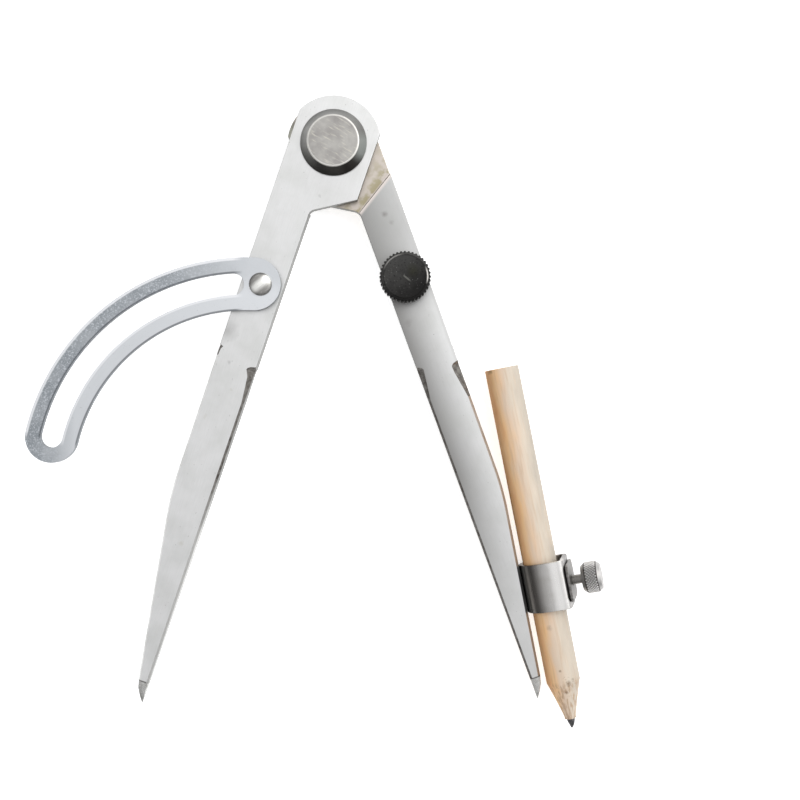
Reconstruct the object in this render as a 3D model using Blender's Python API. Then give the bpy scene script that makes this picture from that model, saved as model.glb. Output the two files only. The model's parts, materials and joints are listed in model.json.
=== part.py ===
"""A wing compass for the workshop or the classroom: two flat steel legs on a half-lap hinge, a slotted wing
that swings on the left leg, a knurled knob on the right leg that locks it, and a pencil clamped beside the
right leg's point.

It lies flat. The hinge axis is the world's Z axis, Z = 0 is the flat face of the hinge's back cap, which it
rests on, and the legs point along -Y, spread evenly to either side. Lengths are in metres.
"""

import math

import bmesh
import bpy
from mathutils import Matrix, Vector

MM = 0.001

# Legs. A leg's own frame has x from the hinge to the point, y to the outer side and z across its thickness.
LEG_SPREAD = math.radians(19.5)  # each leg's angle from the middle line
LEG_THICKNESS = 5.0 * MM
LEG_WIDTH = 10.1 * MM
LEG_WIDTH_AT_BEND = 9.66 * MM
LEG_BEND = 90.4 * MM  # where the outer edge turns in towards the point
LEG_BEND_RADIUS = 60.0 * MM
LEG_PARALLEL_TO = 30.0 * MM
LEG_END = 135.2 * MM
LEG_END_WIDTH = 2.65 * MM
LEG_INNER_EDGE = 0.12 * MM  # the shut legs stay this far each side of the middle line
THIN_FROM = 96.0 * MM
THIN_END_THICKNESS = 3.2 * MM

# The half-lap head.
HEAD_RADIUS = 11.2 * MM
HEAD_INNER_SIDE = 9.65 * MM
SHOULDER_TOP = 11.0 * MM
SHOULDER_FOOT = 17.05 * MM
SHOULDER_FILLET = 2.0 * MM
LAP_CLEARANCE = 0.5 * MM
LAP_GAP = 0.1 * MM

# The hinge: a headed pin, and a cap and a washer behind the legs.
CAP_RADIUS = 7.85 * MM
CAP_FACE_RADIUS = 6.0 * MM
CAP_HEIGHT = 2.6 * MM
CAP_RIM = 0.4 * MM
CAP_FLOOR = 0.6 * MM
CAP_EDGE = 0.2 * MM
PIN_RADIUS = 3.0 * MM
PIN_HOLE_RADIUS = 3.1 * MM
CAP_BORE_RADIUS = 3.06 * MM
HINGE_WASHER_RADIUS = 6.5 * MM
HINGE_WASHER_THICKNESS = 0.45 * MM

# Hardened points, each with a spigot in the end of its leg.
POINT_LENGTH = 5.0 * MM
POINT_WAIST = 1.75 * MM
SPIGOT_RADIUS = 0.65 * MM
SPIGOT_HOLE_RADIUS = 0.75 * MM
SPIGOT_LENGTH = 5.0 * MM
POINT_SETBACK = 0.03 * MM  # how far the point's start stands inside the leg's end, across it
POINT_THICKNESS_STEP = 0.05 * MM
POINT_WAIST_WIDTH = 2.2 * MM
POINT_WAIST_HALF_THICKNESS = 1.3 * MM
POINT_TIP_WIDTH = 0.22 * MM
POINT_TIP_HALF_THICKNESS = 0.12 * MM

# The wing, an arc with a slot, drawn from its rivet.
RIVET_ALONG = 37.3 * MM
RIVET_ACROSS = 5.2 * MM
WING_THICKNESS = 1.5 * MM
WING_ARC_RADIUS = 47.0 * MM
WING_WIDTH = 12.4 * MM
WING_CAP_ANGLE = math.radians(1.8)  # from the rivet to the middle of the near round end
WING_SLOT_ANGLE = math.radians(7.9)  # from the rivet to the near end of the slot
WING_END_ANGLE = math.radians(80.3)  # from the rivet to the far end of the slot
WING_SLOT_WIDTH = 5.2 * MM
WING_SWING = math.radians(-4.7)
WING_WASHER_RADIUS = 3.4 * MM
WING_WASHER_THICKNESS = 0.4 * MM
RIVET_RADIUS = 1.5 * MM
RIVET_HOLE_RADIUS = 1.6 * MM
RIVET_HEAD_RADIUS = 2.7 * MM
RIVET_HEAD_HEIGHT = 1.05 * MM
RIVET_TAIL_RADIUS = 2.2 * MM
RIVET_TAIL_SINK = 0.7 * MM
RIVET_FLANGE = 0.2 * MM
COUNTERSINK_LIP = 0.15 * MM  # how much wider the countersink is than the rivet's tail
COUNTERSINK_NECK = 0.05 * MM

# The lock knob on its screw.
LOCK_ALONG = 36.0 * MM
LOCK_ACROSS = 4.8 * MM
LOCK_SCREW_RADIUS = 2.0 * MM
LOCK_HOLE_RADIUS = 2.1 * MM
LOCK_KNOB_BORE_RADIUS = 2.06 * MM
LOCK_WASHER_RADIUS = 4.2 * MM
LOCK_WASHER_THICKNESS = 0.4 * MM
LOCK_BOSS_RADIUS = 3.7 * MM
LOCK_BOSS_HEIGHT = 1.7 * MM
LOCK_KNOB_RADIUS = 6.0 * MM
LOCK_KNOB_HEIGHT = 3.4 * MM
LOCK_TEETH = 40
LOCK_TOOTH_DEPTH = 0.45 * MM
LOCK_SCREW_TAIL = 3.3 * MM  # height of the screw's lower end above the resting face
LOCK_SCREW_COVER = 1.6 * MM  # what the knob has left above the screw
LOCK_BOSS_ROOT = 1.0 * MM  # how far the boss reaches into the knob's disc

# The pencil and its clamp, in a frame with x along the pencil towards its tip and y away from the leg.
PENCIL_RADIUS = 4.0 * MM
PENCIL_TOP = -52.47 * MM
PENCIL_TIP = 34.73 * MM
CONE_LENGTH = 11.5 * MM
BARE_LEAD = 2.4 * MM
LEAD_RADIUS = 1.05 * MM
LEAD_BORE_RADIUS = 1.15 * MM
LEAD_TIP_RADIUS = 0.35 * MM
LEAD_TIP_ROUND = 0.1 * MM
SLAT_GAP = 0.1 * MM
WOOD_EDGE = 0.15 * MM  # thickness of the wood's end round the lead
LEAD_SHOULDER = 0.2 * MM  # how far the full-width lead stands out of the wood
CLAMP_FROM_END = 20.83 * MM  # along the leg's tapered edge
CLAMP_ROLL = math.radians(13.0)  # the screw points a little upwards
CLAMP_HEIGHT = 11.4 * MM
CLAMP_BORE = 4.6 * MM
CLAMP_WALL = 1.0 * MM
CLAMP_CORNER = 1.4 * MM
CLAMP_INNER_CORNER = 0.6 * MM
FIT_GAP = 0.1 * MM
NUT_THICKNESS = 0.6 * MM
NUT_HEIGHT = 11.2 * MM
NUT_WIDTH = 8.8 * MM
NUT_CORNER = 1.6 * MM
CLAMP_SCREW_RADIUS = 1.25 * MM
CLAMP_SCREW_HOLE_RADIUS = 1.35 * MM
CLAMP_KNOB_BORE_RADIUS = 1.31 * MM
CLAMP_NECK = 2.4 * MM
CLAMP_KNOB_RADIUS = 3.75 * MM
CLAMP_KNOB_LENGTH = 4.5 * MM
CLAMP_KNOB_CHAMFER = 0.8 * MM
CLAMP_SCREW_COVER = 1.5 * MM  # what the knob has left beyond the screw
CLAMP_DRILL_LENGTH = 20.0 * MM

# Running gap between stacked pieces, and heights that follow from the thicknesses.
STACK_GAP = 0.05 * MM
LEG_BACK = CAP_HEIGHT + HINGE_WASHER_THICKNESS + 2 * STACK_GAP
LEG_MIDDLE = LEG_BACK + LEG_THICKNESS / 2
LEG_FRONT = LEG_BACK + LEG_THICKNESS
WING_LOW = LEG_FRONT + WING_WASHER_THICKNESS + 2 * STACK_GAP
BOSS_LOW = LEG_FRONT + LOCK_WASHER_THICKNESS + 2 * STACK_GAP

ROUND_STEPS = 48
FINE_STEPS = 32
MARGIN = 5.0 * MM  # how far a cutter runs past what it cuts


# Outlines -------------------------------------------------------------------------------------------------


def arc(centre, radius, start, end, steps):
    """Points on an arc about centre, from the angle start to the angle end."""
    angles = [start + (end - start) * step / steps for step in range(steps + 1)]
    return [(centre[0] + radius * math.cos(a), centre[1] + radius * math.sin(a)) for a in angles]


def rounded_corner(before, corner, after, radius, steps=6):
    """Points that round off a corner, tangent to the edges that meet there."""
    corner = Vector(corner)
    back = (Vector(before) - corner).normalized()
    ahead = (Vector(after) - corner).normalized()
    half_angle = back.angle(ahead) / 2
    reach = radius / math.tan(half_angle)
    centre = corner + (back + ahead).normalized() * radius / math.sin(half_angle)
    first = corner + back * reach - centre
    last = corner + ahead * reach - centre
    start = math.atan2(first.y, first.x)
    turn = math.remainder(math.atan2(last.y, last.x) - start, math.tau)
    return arc(centre, radius, start, start + turn, steps)


def rounded_outline(corners, radius, steps=6):
    """A closed outline with every corner rounded to the same radius."""
    points = []
    for index, corner in enumerate(corners):
        after = corners[(index + 1) % len(corners)]
        points += rounded_corner(corners[index - 1], corner, after, radius, steps)
    return points


def leg_outline():
    """A leg seen flat, counter-clockwise from the inner corner of its end."""
    end_inner = (LEG_END, LEG_INNER_EDGE)
    end_outer = (LEG_END, LEG_END_WIDTH)
    bend = (LEG_BEND, LEG_WIDTH_AT_BEND)
    outer_side = (LEG_PARALLEL_TO, LEG_WIDTH)
    head_start = math.asin(LEG_WIDTH / HEAD_RADIUS)
    head_end = math.asin(HEAD_INNER_SIDE / HEAD_RADIUS)
    head = arc((0, 0), HEAD_RADIUS, math.pi - head_start, math.pi + head_end, FINE_STEPS)
    shoulder = (SHOULDER_TOP, -HEAD_INNER_SIDE)
    foot = (SHOULDER_FOOT, LEG_INNER_EDGE)
    return [
        end_inner,
        end_outer,
        *rounded_corner(end_outer, bend, outer_side, LEG_BEND_RADIUS, 8),
        outer_side,
        *head,
        shoulder,
        *rounded_corner(shoulder, foot, end_inner, SHOULDER_FILLET, 5),
    ]


def lap_outline():
    """What is cut away from half the thickness, so that the other leg's head fits over this one."""
    slope = (SHOULDER_FOOT - SHOULDER_TOP) / (HEAD_INNER_SIDE + LEG_INNER_EDGE)
    inner = (SHOULDER_FOOT + LAP_CLEARANCE, -LEG_INNER_EDGE)
    reach = LEG_WIDTH + MARGIN
    outer = (inner[0] - slope * (reach + LEG_INNER_EDGE), reach)
    back = -HEAD_RADIUS - MARGIN
    return [(back, -reach), (inner[0], -reach), inner, outer, (back, reach)]


def wing_outlines():
    """The wing's outline and its slot, about the rivet, with the arc's middle on -y."""
    middle = (0, -WING_ARC_RADIUS)
    upright = math.pi / 2

    def band(width, start, end):
        half = width / 2
        start_middle = arc(middle, WING_ARC_RADIUS, upright + start, 0, 1)[0]
        end_middle = arc(middle, WING_ARC_RADIUS, upright + end, 0, 1)[0]
        return [
            *arc(middle, WING_ARC_RADIUS + half, upright + start, upright + end, 30),
            *arc(end_middle, half, upright + end, upright + end + math.pi, 12)[1:-1],
            *arc(middle, WING_ARC_RADIUS - half, upright + end, upright + start, 30),
            *arc(start_middle, half, start - upright, start + upright, 12)[1:-1],
        ]

    outside = band(WING_WIDTH, WING_CAP_ANGLE, WING_END_ANGLE)
    slot = band(WING_SLOT_WIDTH, WING_SLOT_ANGLE, WING_END_ANGLE)
    return outside, slot


def clamp_outline(half_size, corner):
    """A D: half a circle on the leg's side and a square end, with rounded corners, on the screw's side."""
    top = (half_size, half_size)
    bottom = (half_size, -half_size)
    return [
        *arc((0, 0), half_size, math.pi / 2, 3 * math.pi / 2, 24),
        *rounded_corner((0, -half_size), bottom, top, corner),
        *rounded_corner(bottom, top, (0, half_size), corner),
    ]


# Solids ---------------------------------------------------------------------------------------------------


def prism(points, low, high):
    """A closed solid between two heights on a counter-clockwise outline."""
    shape = bmesh.new()
    face = shape.faces.new([shape.verts.new((x, y, low)) for x, y in points])
    lifted = bmesh.ops.extrude_face_region(shape, geom=[face])["geom"]
    corners = [item for item in lifted if isinstance(item, bmesh.types.BMVert)]
    bmesh.ops.translate(shape, vec=(0, 0, high - low), verts=corners)
    bmesh.ops.recalc_face_normals(shape, faces=shape.faces)
    return shape


def turned(profile, steps=ROUND_STEPS, turn=math.tau):
    """A closed profile of (radius, height) points, turned about z. Half a turn gets two flat end faces."""
    shape = bmesh.new()
    corners = [shape.verts.new((radius, 0, height)) for radius, height in profile]
    face = shape.faces.new(corners)
    whole = turn == math.tau
    bmesh.ops.spin(
        shape,
        geom=[face] if not whole else list(face.edges),
        cent=(0, 0, 0),
        axis=(0, 0, 1),
        angle=turn,
        steps=steps,
        use_merge=whole,
    )
    if whole:
        shape.faces.remove(face)
    bmesh.ops.remove_doubles(shape, verts=shape.verts, dist=0.001 * MM)
    bmesh.ops.dissolve_degenerate(shape, edges=shape.edges, dist=0.001 * MM)
    bmesh.ops.recalc_face_normals(shape, faces=shape.faces)
    return shape


def rod(radius, low, high, steps=ROUND_STEPS):
    """A plain round bar about z."""
    return prism(arc((0, 0), radius, 0, math.tau, steps)[:-1], low, high)


def washer(radius, hole, low, high):
    """A flat ring about z."""
    return turned([(hole, low), (radius, low), (radius, high), (hole, high)])


def lofted(sections):
    """A closed solid through rings of points, each with the same number of corners."""
    shape = bmesh.new()
    rings = [[shape.verts.new(point) for point in section] for section in sections]
    count = len(rings[0])
    for ring, following in zip(rings, rings[1:]):
        for index in range(count):
            after = (index + 1) % count
            shape.faces.new([ring[index], ring[after], following[after], following[index]])
    shape.faces.new(rings[0])
    shape.faces.new(rings[-1])
    bmesh.ops.recalc_face_normals(shape, faces=shape.faces)
    return shape


def moved(shape, matrix):
    """The same shape, carried by a matrix."""
    bmesh.ops.transform(shape, matrix=matrix, verts=shape.verts)
    return shape


ALONG_X = Matrix(((0, 0, 1, 0), (1, 0, 0, 0), (0, 1, 0, 0), (0, 0, 0, 1)))  # turns z into x, x into y
ALONG_Y = Matrix(((0, 1, 0, 0), (0, 0, 1, 0), (1, 0, 0, 0), (0, 0, 0, 1)))  # turns z into y, x into z


# Objects --------------------------------------------------------------------------------------------------


def clear_scene():
    for thing in list(bpy.data.objects):
        bpy.data.objects.remove(thing, do_unlink=True)


def make_material(name, colour, roughness, metallic):
    material = bpy.data.materials.new(name)
    material.use_nodes = True
    shader = material.node_tree.nodes["Principled BSDF"]
    shader.inputs["Base Color"].default_value = (*colour, 1)
    shader.inputs["Roughness"].default_value = roughness
    shader.inputs["Metallic"].default_value = metallic
    return material


def make_object(name, shape, material, parent, location=(0, 0, 0), rotation=(0, 0, 0)):
    """Puts a shape in the scene as one named piece."""
    mesh = bpy.data.meshes.new(name)
    shape.to_mesh(mesh)
    shape.free()
    if material:
        mesh.materials.append(material)
        mesh.shade_smooth()
        mesh.set_sharp_from_angle(angle=math.radians(35))
    piece = bpy.data.objects.new(name, mesh)
    bpy.context.scene.collection.objects.link(piece)
    piece.parent = parent
    piece.location = location
    piece.rotation_euler = rotation
    return piece


def make_frame(name, parent=None, location=(0, 0, 0), rotation=(0, 0, 0)):
    """An empty that pieces are placed on."""
    frame = bpy.data.objects.new(name, None)
    bpy.context.scene.collection.objects.link(frame)
    frame.empty_display_size = 10 * MM
    frame.parent = parent
    frame.location = location
    frame.rotation_euler = rotation
    return frame


def combine(piece, shape, operation, name):
    """Cuts a shape from a piece, or joins it on. The shape is in the piece's own frame."""
    helper = make_object(name, shape, None, piece)
    helper.hide_render = True
    helper.display_type = "WIRE"
    modifier = piece.modifiers.new(name, "BOOLEAN")
    modifier.operation = operation
    modifier.solver = "EXACT"
    modifier.object = helper


def cut(piece, shape, name):
    combine(piece, shape, "DIFFERENCE", name)


# Legs and points ------------------------------------------------------------------------------------------


def leg_half_thickness(along):
    """Half the leg's thickness at a distance from the hinge."""
    if along <= THIN_FROM:
        return LEG_THICKNESS / 2
    share = (along - THIN_FROM) / (LEG_END - THIN_FROM)
    return (LEG_THICKNESS + (THIN_END_THICKNESS - LEG_THICKNESS) * share) / 2


def leg_shape():
    """The bar with its round head, thinned on both faces towards the point."""
    half = LEG_THICKNESS / 2
    shape = prism(leg_outline(), -half, half)
    everything = list(shape.verts) + list(shape.edges) + list(shape.faces)
    bmesh.ops.bisect_plane(shape, geom=everything, plane_co=(THIN_FROM, 0, 0), plane_no=(1, 0, 0))
    for corner in shape.verts:
        corner.co.z = math.copysign(leg_half_thickness(corner.co.x), corner.co.z)
    return shape


def make_leg(side, frame, material, flip):
    """Both legs are the same forging. The left one is turned over, which brings its head to the front."""
    rotation = (math.pi, 0, 0) if flip else (0, 0, 0)
    leg = make_object(f"{side}_leg", leg_shape(), material, frame, (0, 0, LEG_MIDDLE), rotation)
    cut(leg, prism(lap_outline(), -LAP_GAP / 2, LEG_THICKNESS), f"{side}_lap_cutter")
    hinge_hole = rod(PIN_HOLE_RADIUS, -LEG_THICKNESS, LEG_THICKNESS)
    cut(leg, hinge_hole, f"{side}_hinge_cutter")
    spigot_hole = moved(rod(SPIGOT_HOLE_RADIUS, 0, SPIGOT_LENGTH + MARGIN, 20), ALONG_X)
    start = (LEG_END - SPIGOT_LENGTH - FIT_GAP, point_middle(), 0)
    cut(leg, moved(spigot_hole, Matrix.Translation(start)), f"{side}_spigot_cutter")
    return leg


def point_middle():
    """Where the spigot stands across the leg's end."""
    return (LEG_END_WIDTH + LEG_INNER_EDGE) / 2


def point_shape():
    """A hardened point: a short straight stretch, then a long grind to the tip on the inner edge."""
    start = LEG_END + STACK_GAP
    inner = LEG_INNER_EDGE
    sections = (
        (start, LEG_END_WIDTH - POINT_SETBACK, THIN_END_THICKNESS / 2 - POINT_THICKNESS_STEP),
        (start + POINT_WAIST, POINT_WAIST_WIDTH, POINT_WAIST_HALF_THICKNESS),
        (start + POINT_LENGTH, inner + POINT_TIP_WIDTH, POINT_TIP_HALF_THICKNESS),
    )
    rings = []
    for along, outer, half in sections:
        corners = ((inner, -half), (outer, -half), (outer, half), (inner, half))
        rings.append([(along, across, height) for across, height in corners])
    return lofted(rings)


def make_point(side, frame, material, flip):
    rotation = (math.pi, 0, 0) if flip else (0, 0, 0)
    point = make_object(f"{side}_point", point_shape(), material, frame, (0, 0, LEG_MIDDLE), rotation)
    spigot = moved(rod(SPIGOT_RADIUS, 0, SPIGOT_LENGTH + POINT_WAIST, 20), ALONG_X)
    start = (LEG_END - SPIGOT_LENGTH, point_middle(), 0)
    combine(point, moved(spigot, Matrix.Translation(start)), "UNION", f"{side}_spigot")
    return point


# Hinge ----------------------------------------------------------------------------------------------------


def make_hinge(steel, spring_steel):
    """The headed pin, the cap on its back end, and the washer that keeps the joint stiff."""
    head_low = LEG_FRONT + STACK_GAP
    head_high = head_low + CAP_HEIGHT
    tail = CAP_FLOOR + 2 * STACK_GAP
    pin = [
        (0, tail),
        (PIN_RADIUS, tail),
        (PIN_RADIUS, head_low),
        (CAP_RADIUS, head_low),
        (CAP_RADIUS, head_low + CAP_RIM),
        (CAP_FACE_RADIUS, head_high - CAP_EDGE),
        (CAP_FACE_RADIUS - CAP_EDGE, head_high),
        (0, head_high),
    ]
    make_object("pivot_pin", turned(pin), steel, None)
    cap = [
        (0, 0),
        (CAP_FACE_RADIUS - CAP_EDGE, 0),
        (CAP_FACE_RADIUS, CAP_EDGE),
        (CAP_RADIUS, CAP_HEIGHT - CAP_RIM),
        (CAP_RADIUS, CAP_HEIGHT),
        (CAP_BORE_RADIUS, CAP_HEIGHT),
        (CAP_BORE_RADIUS, CAP_FLOOR),
        (0, CAP_FLOOR),
    ]
    make_object("pivot_cap", turned(cap), steel, None)
    low = CAP_HEIGHT + STACK_GAP
    ring = washer(HINGE_WASHER_RADIUS, PIN_HOLE_RADIUS, low, low + HINGE_WASHER_THICKNESS)
    make_object("pivot_washer", ring, spring_steel, None)


# Wing -----------------------------------------------------------------------------------------------------


def make_wing(frame, left_leg, zinc, steel):
    """The wing, the washer under it and the rivet that they turn on, all about the rivet's axis."""
    outside, slot = wing_outlines()
    wing = make_object("wing", prism(outside, WING_LOW, WING_LOW + WING_THICKNESS), zinc, frame)
    wing.rotation_euler = (0, 0, WING_SWING - frame.matrix_world.to_euler().z)
    cut(wing, prism(slot, 0, WING_LOW + MARGIN), "slot_cutter")
    cut(wing, rod(RIVET_HOLE_RADIUS, 0, WING_LOW + MARGIN), "wing_hole_cutter")

    low = LEG_FRONT + STACK_GAP
    ring = washer(WING_WASHER_RADIUS, RIVET_HOLE_RADIUS, low, low + WING_WASHER_THICKNESS)
    make_object("wing_washer", ring, steel, frame)

    tail = LEG_BACK + STACK_GAP
    head = WING_LOW + WING_THICKNESS + STACK_GAP
    rivet = [
        (0, tail),
        (RIVET_TAIL_RADIUS, tail),
        (RIVET_RADIUS, tail + RIVET_TAIL_SINK),
        (RIVET_RADIUS, head),
        (RIVET_HEAD_RADIUS, head),
        *rivet_dome(head),
    ]
    make_object("wing_rivet", turned(rivet), steel, frame)

    # The hole in the leg runs through, with a countersink at the back for the rivet's spread tail. The left
    # leg is turned over, so its back face is at +z in its own frame.
    hole = rod(RIVET_HOLE_RADIUS, -LEG_THICKNESS, LEG_THICKNESS)
    place = Matrix.Translation((RIVET_ALONG, RIVET_ACROSS, 0))
    cut(left_leg, moved(hole, place), "rivet_hole_cutter")
    face = LEG_THICKNESS / 2
    slope = (RIVET_TAIL_RADIUS - RIVET_RADIUS) / RIVET_TAIL_SINK
    mouth = RIVET_TAIL_RADIUS + COUNTERSINK_LIP
    neck = RIVET_RADIUS + COUNTERSINK_NECK
    depth = (mouth - neck) / slope
    above = face + MARGIN
    sink = [(0, face - depth), (neck, face - depth), (mouth, face), (mouth, above), (0, above)]
    cut(left_leg, moved(turned(sink), place), "countersink_cutter")


def rivet_dome(low):
    """A low dome above the rivet's flange, as (radius, height) points."""
    points = []
    for step in range(7):
        angle = math.pi / 2 * step / 6
        height = low + RIVET_FLANGE + (RIVET_HEAD_HEIGHT - RIVET_FLANGE) * math.sin(angle)
        points.append((RIVET_HEAD_RADIUS * math.cos(angle), height))
    points[-1] = (0, low + RIVET_HEAD_HEIGHT)
    return points


# Lock -----------------------------------------------------------------------------------------------------


def knurled_outline(radius, teeth, depth):
    """A round outline with straight, flat-topped teeth."""
    points = []
    for tooth in range(teeth):
        for share, inset in ((0.0, 0), (0.34, 0), (0.55, depth), (0.79, depth)):
            angle = math.tau * (tooth + share) / teeth
            points.append(((radius - inset) * math.cos(angle), (radius - inset) * math.sin(angle)))
    return points


def make_lock(frame, right_leg, black, steel):
    """The screw through the right leg, its washer, and the knurled knob fixed on the screw's upper end."""
    knob_low = BOSS_LOW + LOCK_BOSS_HEIGHT
    knob_high = knob_low + LOCK_KNOB_HEIGHT
    screw_high = knob_high - LOCK_SCREW_COVER

    outline = knurled_outline(LOCK_KNOB_RADIUS, LOCK_TEETH, LOCK_TOOTH_DEPTH)
    knob = make_object("lock_knob", prism(outline, knob_low, knob_high), black, frame)
    combine(knob, rod(LOCK_BOSS_RADIUS, BOSS_LOW, knob_low + LOCK_BOSS_ROOT), "UNION", "knob_boss")
    bore_top = screw_high + FIT_GAP
    cut(knob, rod(LOCK_KNOB_BORE_RADIUS, BOSS_LOW - MARGIN, bore_top), "knob_bore_cutter")

    screw = rod(LOCK_SCREW_RADIUS, LOCK_SCREW_TAIL, screw_high)
    make_object("lock_screw", screw, steel, frame)
    low = LEG_FRONT + STACK_GAP
    ring = washer(LOCK_WASHER_RADIUS, LOCK_HOLE_RADIUS, low, low + LOCK_WASHER_THICKNESS)
    make_object("lock_washer", ring, steel, frame)

    hole = rod(LOCK_HOLE_RADIUS, -LEG_THICKNESS, LEG_THICKNESS)
    cut(right_leg, moved(hole, Matrix.Translation((LOCK_ALONG, LOCK_ACROSS, 0))), "lock_hole_cutter")


# Clamp and pencil -----------------------------------------------------------------------------------------


def taper_angle():
    """How far the outer edge turns in from the bend to the leg's end."""
    return math.atan2(LEG_WIDTH_AT_BEND - LEG_END_WIDTH, LEG_END - LEG_BEND)


def pencil_place():
    """The middle of the clamped stretch of the pencil, in the right leg's frame."""
    angle = taper_angle()
    edge = Vector((LEG_END, LEG_END_WIDTH)) + CLAMP_FROM_END * Vector((-math.cos(angle), math.sin(angle)))
    stand_off = FIT_GAP + CLAMP_WALL + FIT_GAP + PENCIL_RADIUS
    middle = edge + stand_off * Vector((math.sin(angle), math.cos(angle)))
    return (middle.x, middle.y, LEG_MIDDLE)


def make_clamp(frame, stainless, steel):
    """The bent strip, the nut plate on its flat side, and the thumbscrew. The screw lies along y."""
    half = CLAMP_HEIGHT / 2
    outer = CLAMP_BORE + CLAMP_WALL
    ring = moved(prism(clamp_outline(outer, CLAMP_CORNER), -half, half), ALONG_X)
    band = make_object("clamp_ring", ring, stainless, frame)
    inside = prism(clamp_outline(CLAMP_BORE, CLAMP_INNER_CORNER), -half - MARGIN, half + MARGIN)
    cut(band, moved(inside, ALONG_X), "clamp_bore_cutter")
    hole = moved(rod(CLAMP_SCREW_HOLE_RADIUS, 0, CLAMP_DRILL_LENGTH, 24), ALONG_Y)
    cut(band, hole, "clamp_hole_cutter")

    nut_low = outer + FIT_GAP
    nut_high = nut_low + NUT_THICKNESS
    high, wide = NUT_HEIGHT / 2, NUT_WIDTH / 2
    corners = [(-wide, -high), (wide, -high), (wide, high), (-wide, high)]
    plate = moved(prism(rounded_outline(corners, NUT_CORNER), nut_low, nut_high), ALONG_Y)
    nut = make_object("clamp_nut", plate, stainless, frame)
    hole = moved(rod(CLAMP_SCREW_HOLE_RADIUS, 0, CLAMP_DRILL_LENGTH, 24), ALONG_Y)
    cut(nut, hole, "nut_hole_cutter")

    # The ring stands off the pencil's axis, so the screw's tip is reckoned from the pencil's near side.
    off_axis = CLAMP_BORE - PENCIL_RADIUS - FIT_GAP
    tip = PENCIL_RADIUS - off_axis * math.cos(CLAMP_ROLL) + FIT_GAP + STACK_GAP
    knob_low = nut_high + CLAMP_NECK
    knob_high = knob_low + CLAMP_KNOB_LENGTH
    screw_high = knob_high - CLAMP_SCREW_COVER
    screw = moved(rod(CLAMP_SCREW_RADIUS, tip, screw_high, 32), ALONG_Y)
    make_object("clamp_screw", screw, steel, frame)

    chamfered = CLAMP_KNOB_RADIUS - CLAMP_KNOB_CHAMFER
    knob = [
        (CLAMP_KNOB_BORE_RADIUS, knob_low),
        (chamfered, knob_low),
        (CLAMP_KNOB_RADIUS, knob_low + CLAMP_KNOB_CHAMFER),
        (CLAMP_KNOB_RADIUS, knob_high - CLAMP_KNOB_CHAMFER),
        (chamfered, knob_high),
        (0, knob_high),
        (0, screw_high + FIT_GAP),
        (CLAMP_KNOB_BORE_RADIUS, screw_high + FIT_GAP),
    ]
    make_object("clamp_knob", moved(turned(knob), ALONG_Y), steel, frame)


def make_pencil(frame, wood, graphite):
    """Two grooved wooden slats glued round a lead. The frame's x is the pencil's axis."""
    cone_start = PENCIL_TIP - CONE_LENGTH
    cone_end = PENCIL_TIP - BARE_LEAD
    slat = [
        (LEAD_BORE_RADIUS, PENCIL_TOP),
        (PENCIL_RADIUS, PENCIL_TOP),
        (PENCIL_RADIUS, cone_start),
        (LEAD_BORE_RADIUS + WOOD_EDGE, cone_end),
        (LEAD_BORE_RADIUS, cone_end),
    ]
    slats = (("pencil_front_slat", 0, SLAT_GAP / 2), ("pencil_back_slat", math.pi, -SLAT_GAP / 2))
    for name, turn, lift in slats:
        half = moved(turned(slat, 24, math.pi), ALONG_X)
        half = moved(half, Matrix.Rotation(turn, 4, "X"))
        make_object(name, half, wood, frame, (0, 0, lift))
    lead = [
        (0, PENCIL_TOP + FIT_GAP),
        (LEAD_RADIUS, PENCIL_TOP + FIT_GAP),
        (LEAD_RADIUS, cone_end + LEAD_SHOULDER),
        (LEAD_TIP_RADIUS, PENCIL_TIP - LEAD_TIP_ROUND),
        (LEAD_TIP_RADIUS / 2, PENCIL_TIP),
        (0, PENCIL_TIP),
    ]
    make_object("pencil_lead", moved(turned(lead, 24), ALONG_X), graphite, frame)


# Assembly -------------------------------------------------------------------------------------------------


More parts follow.
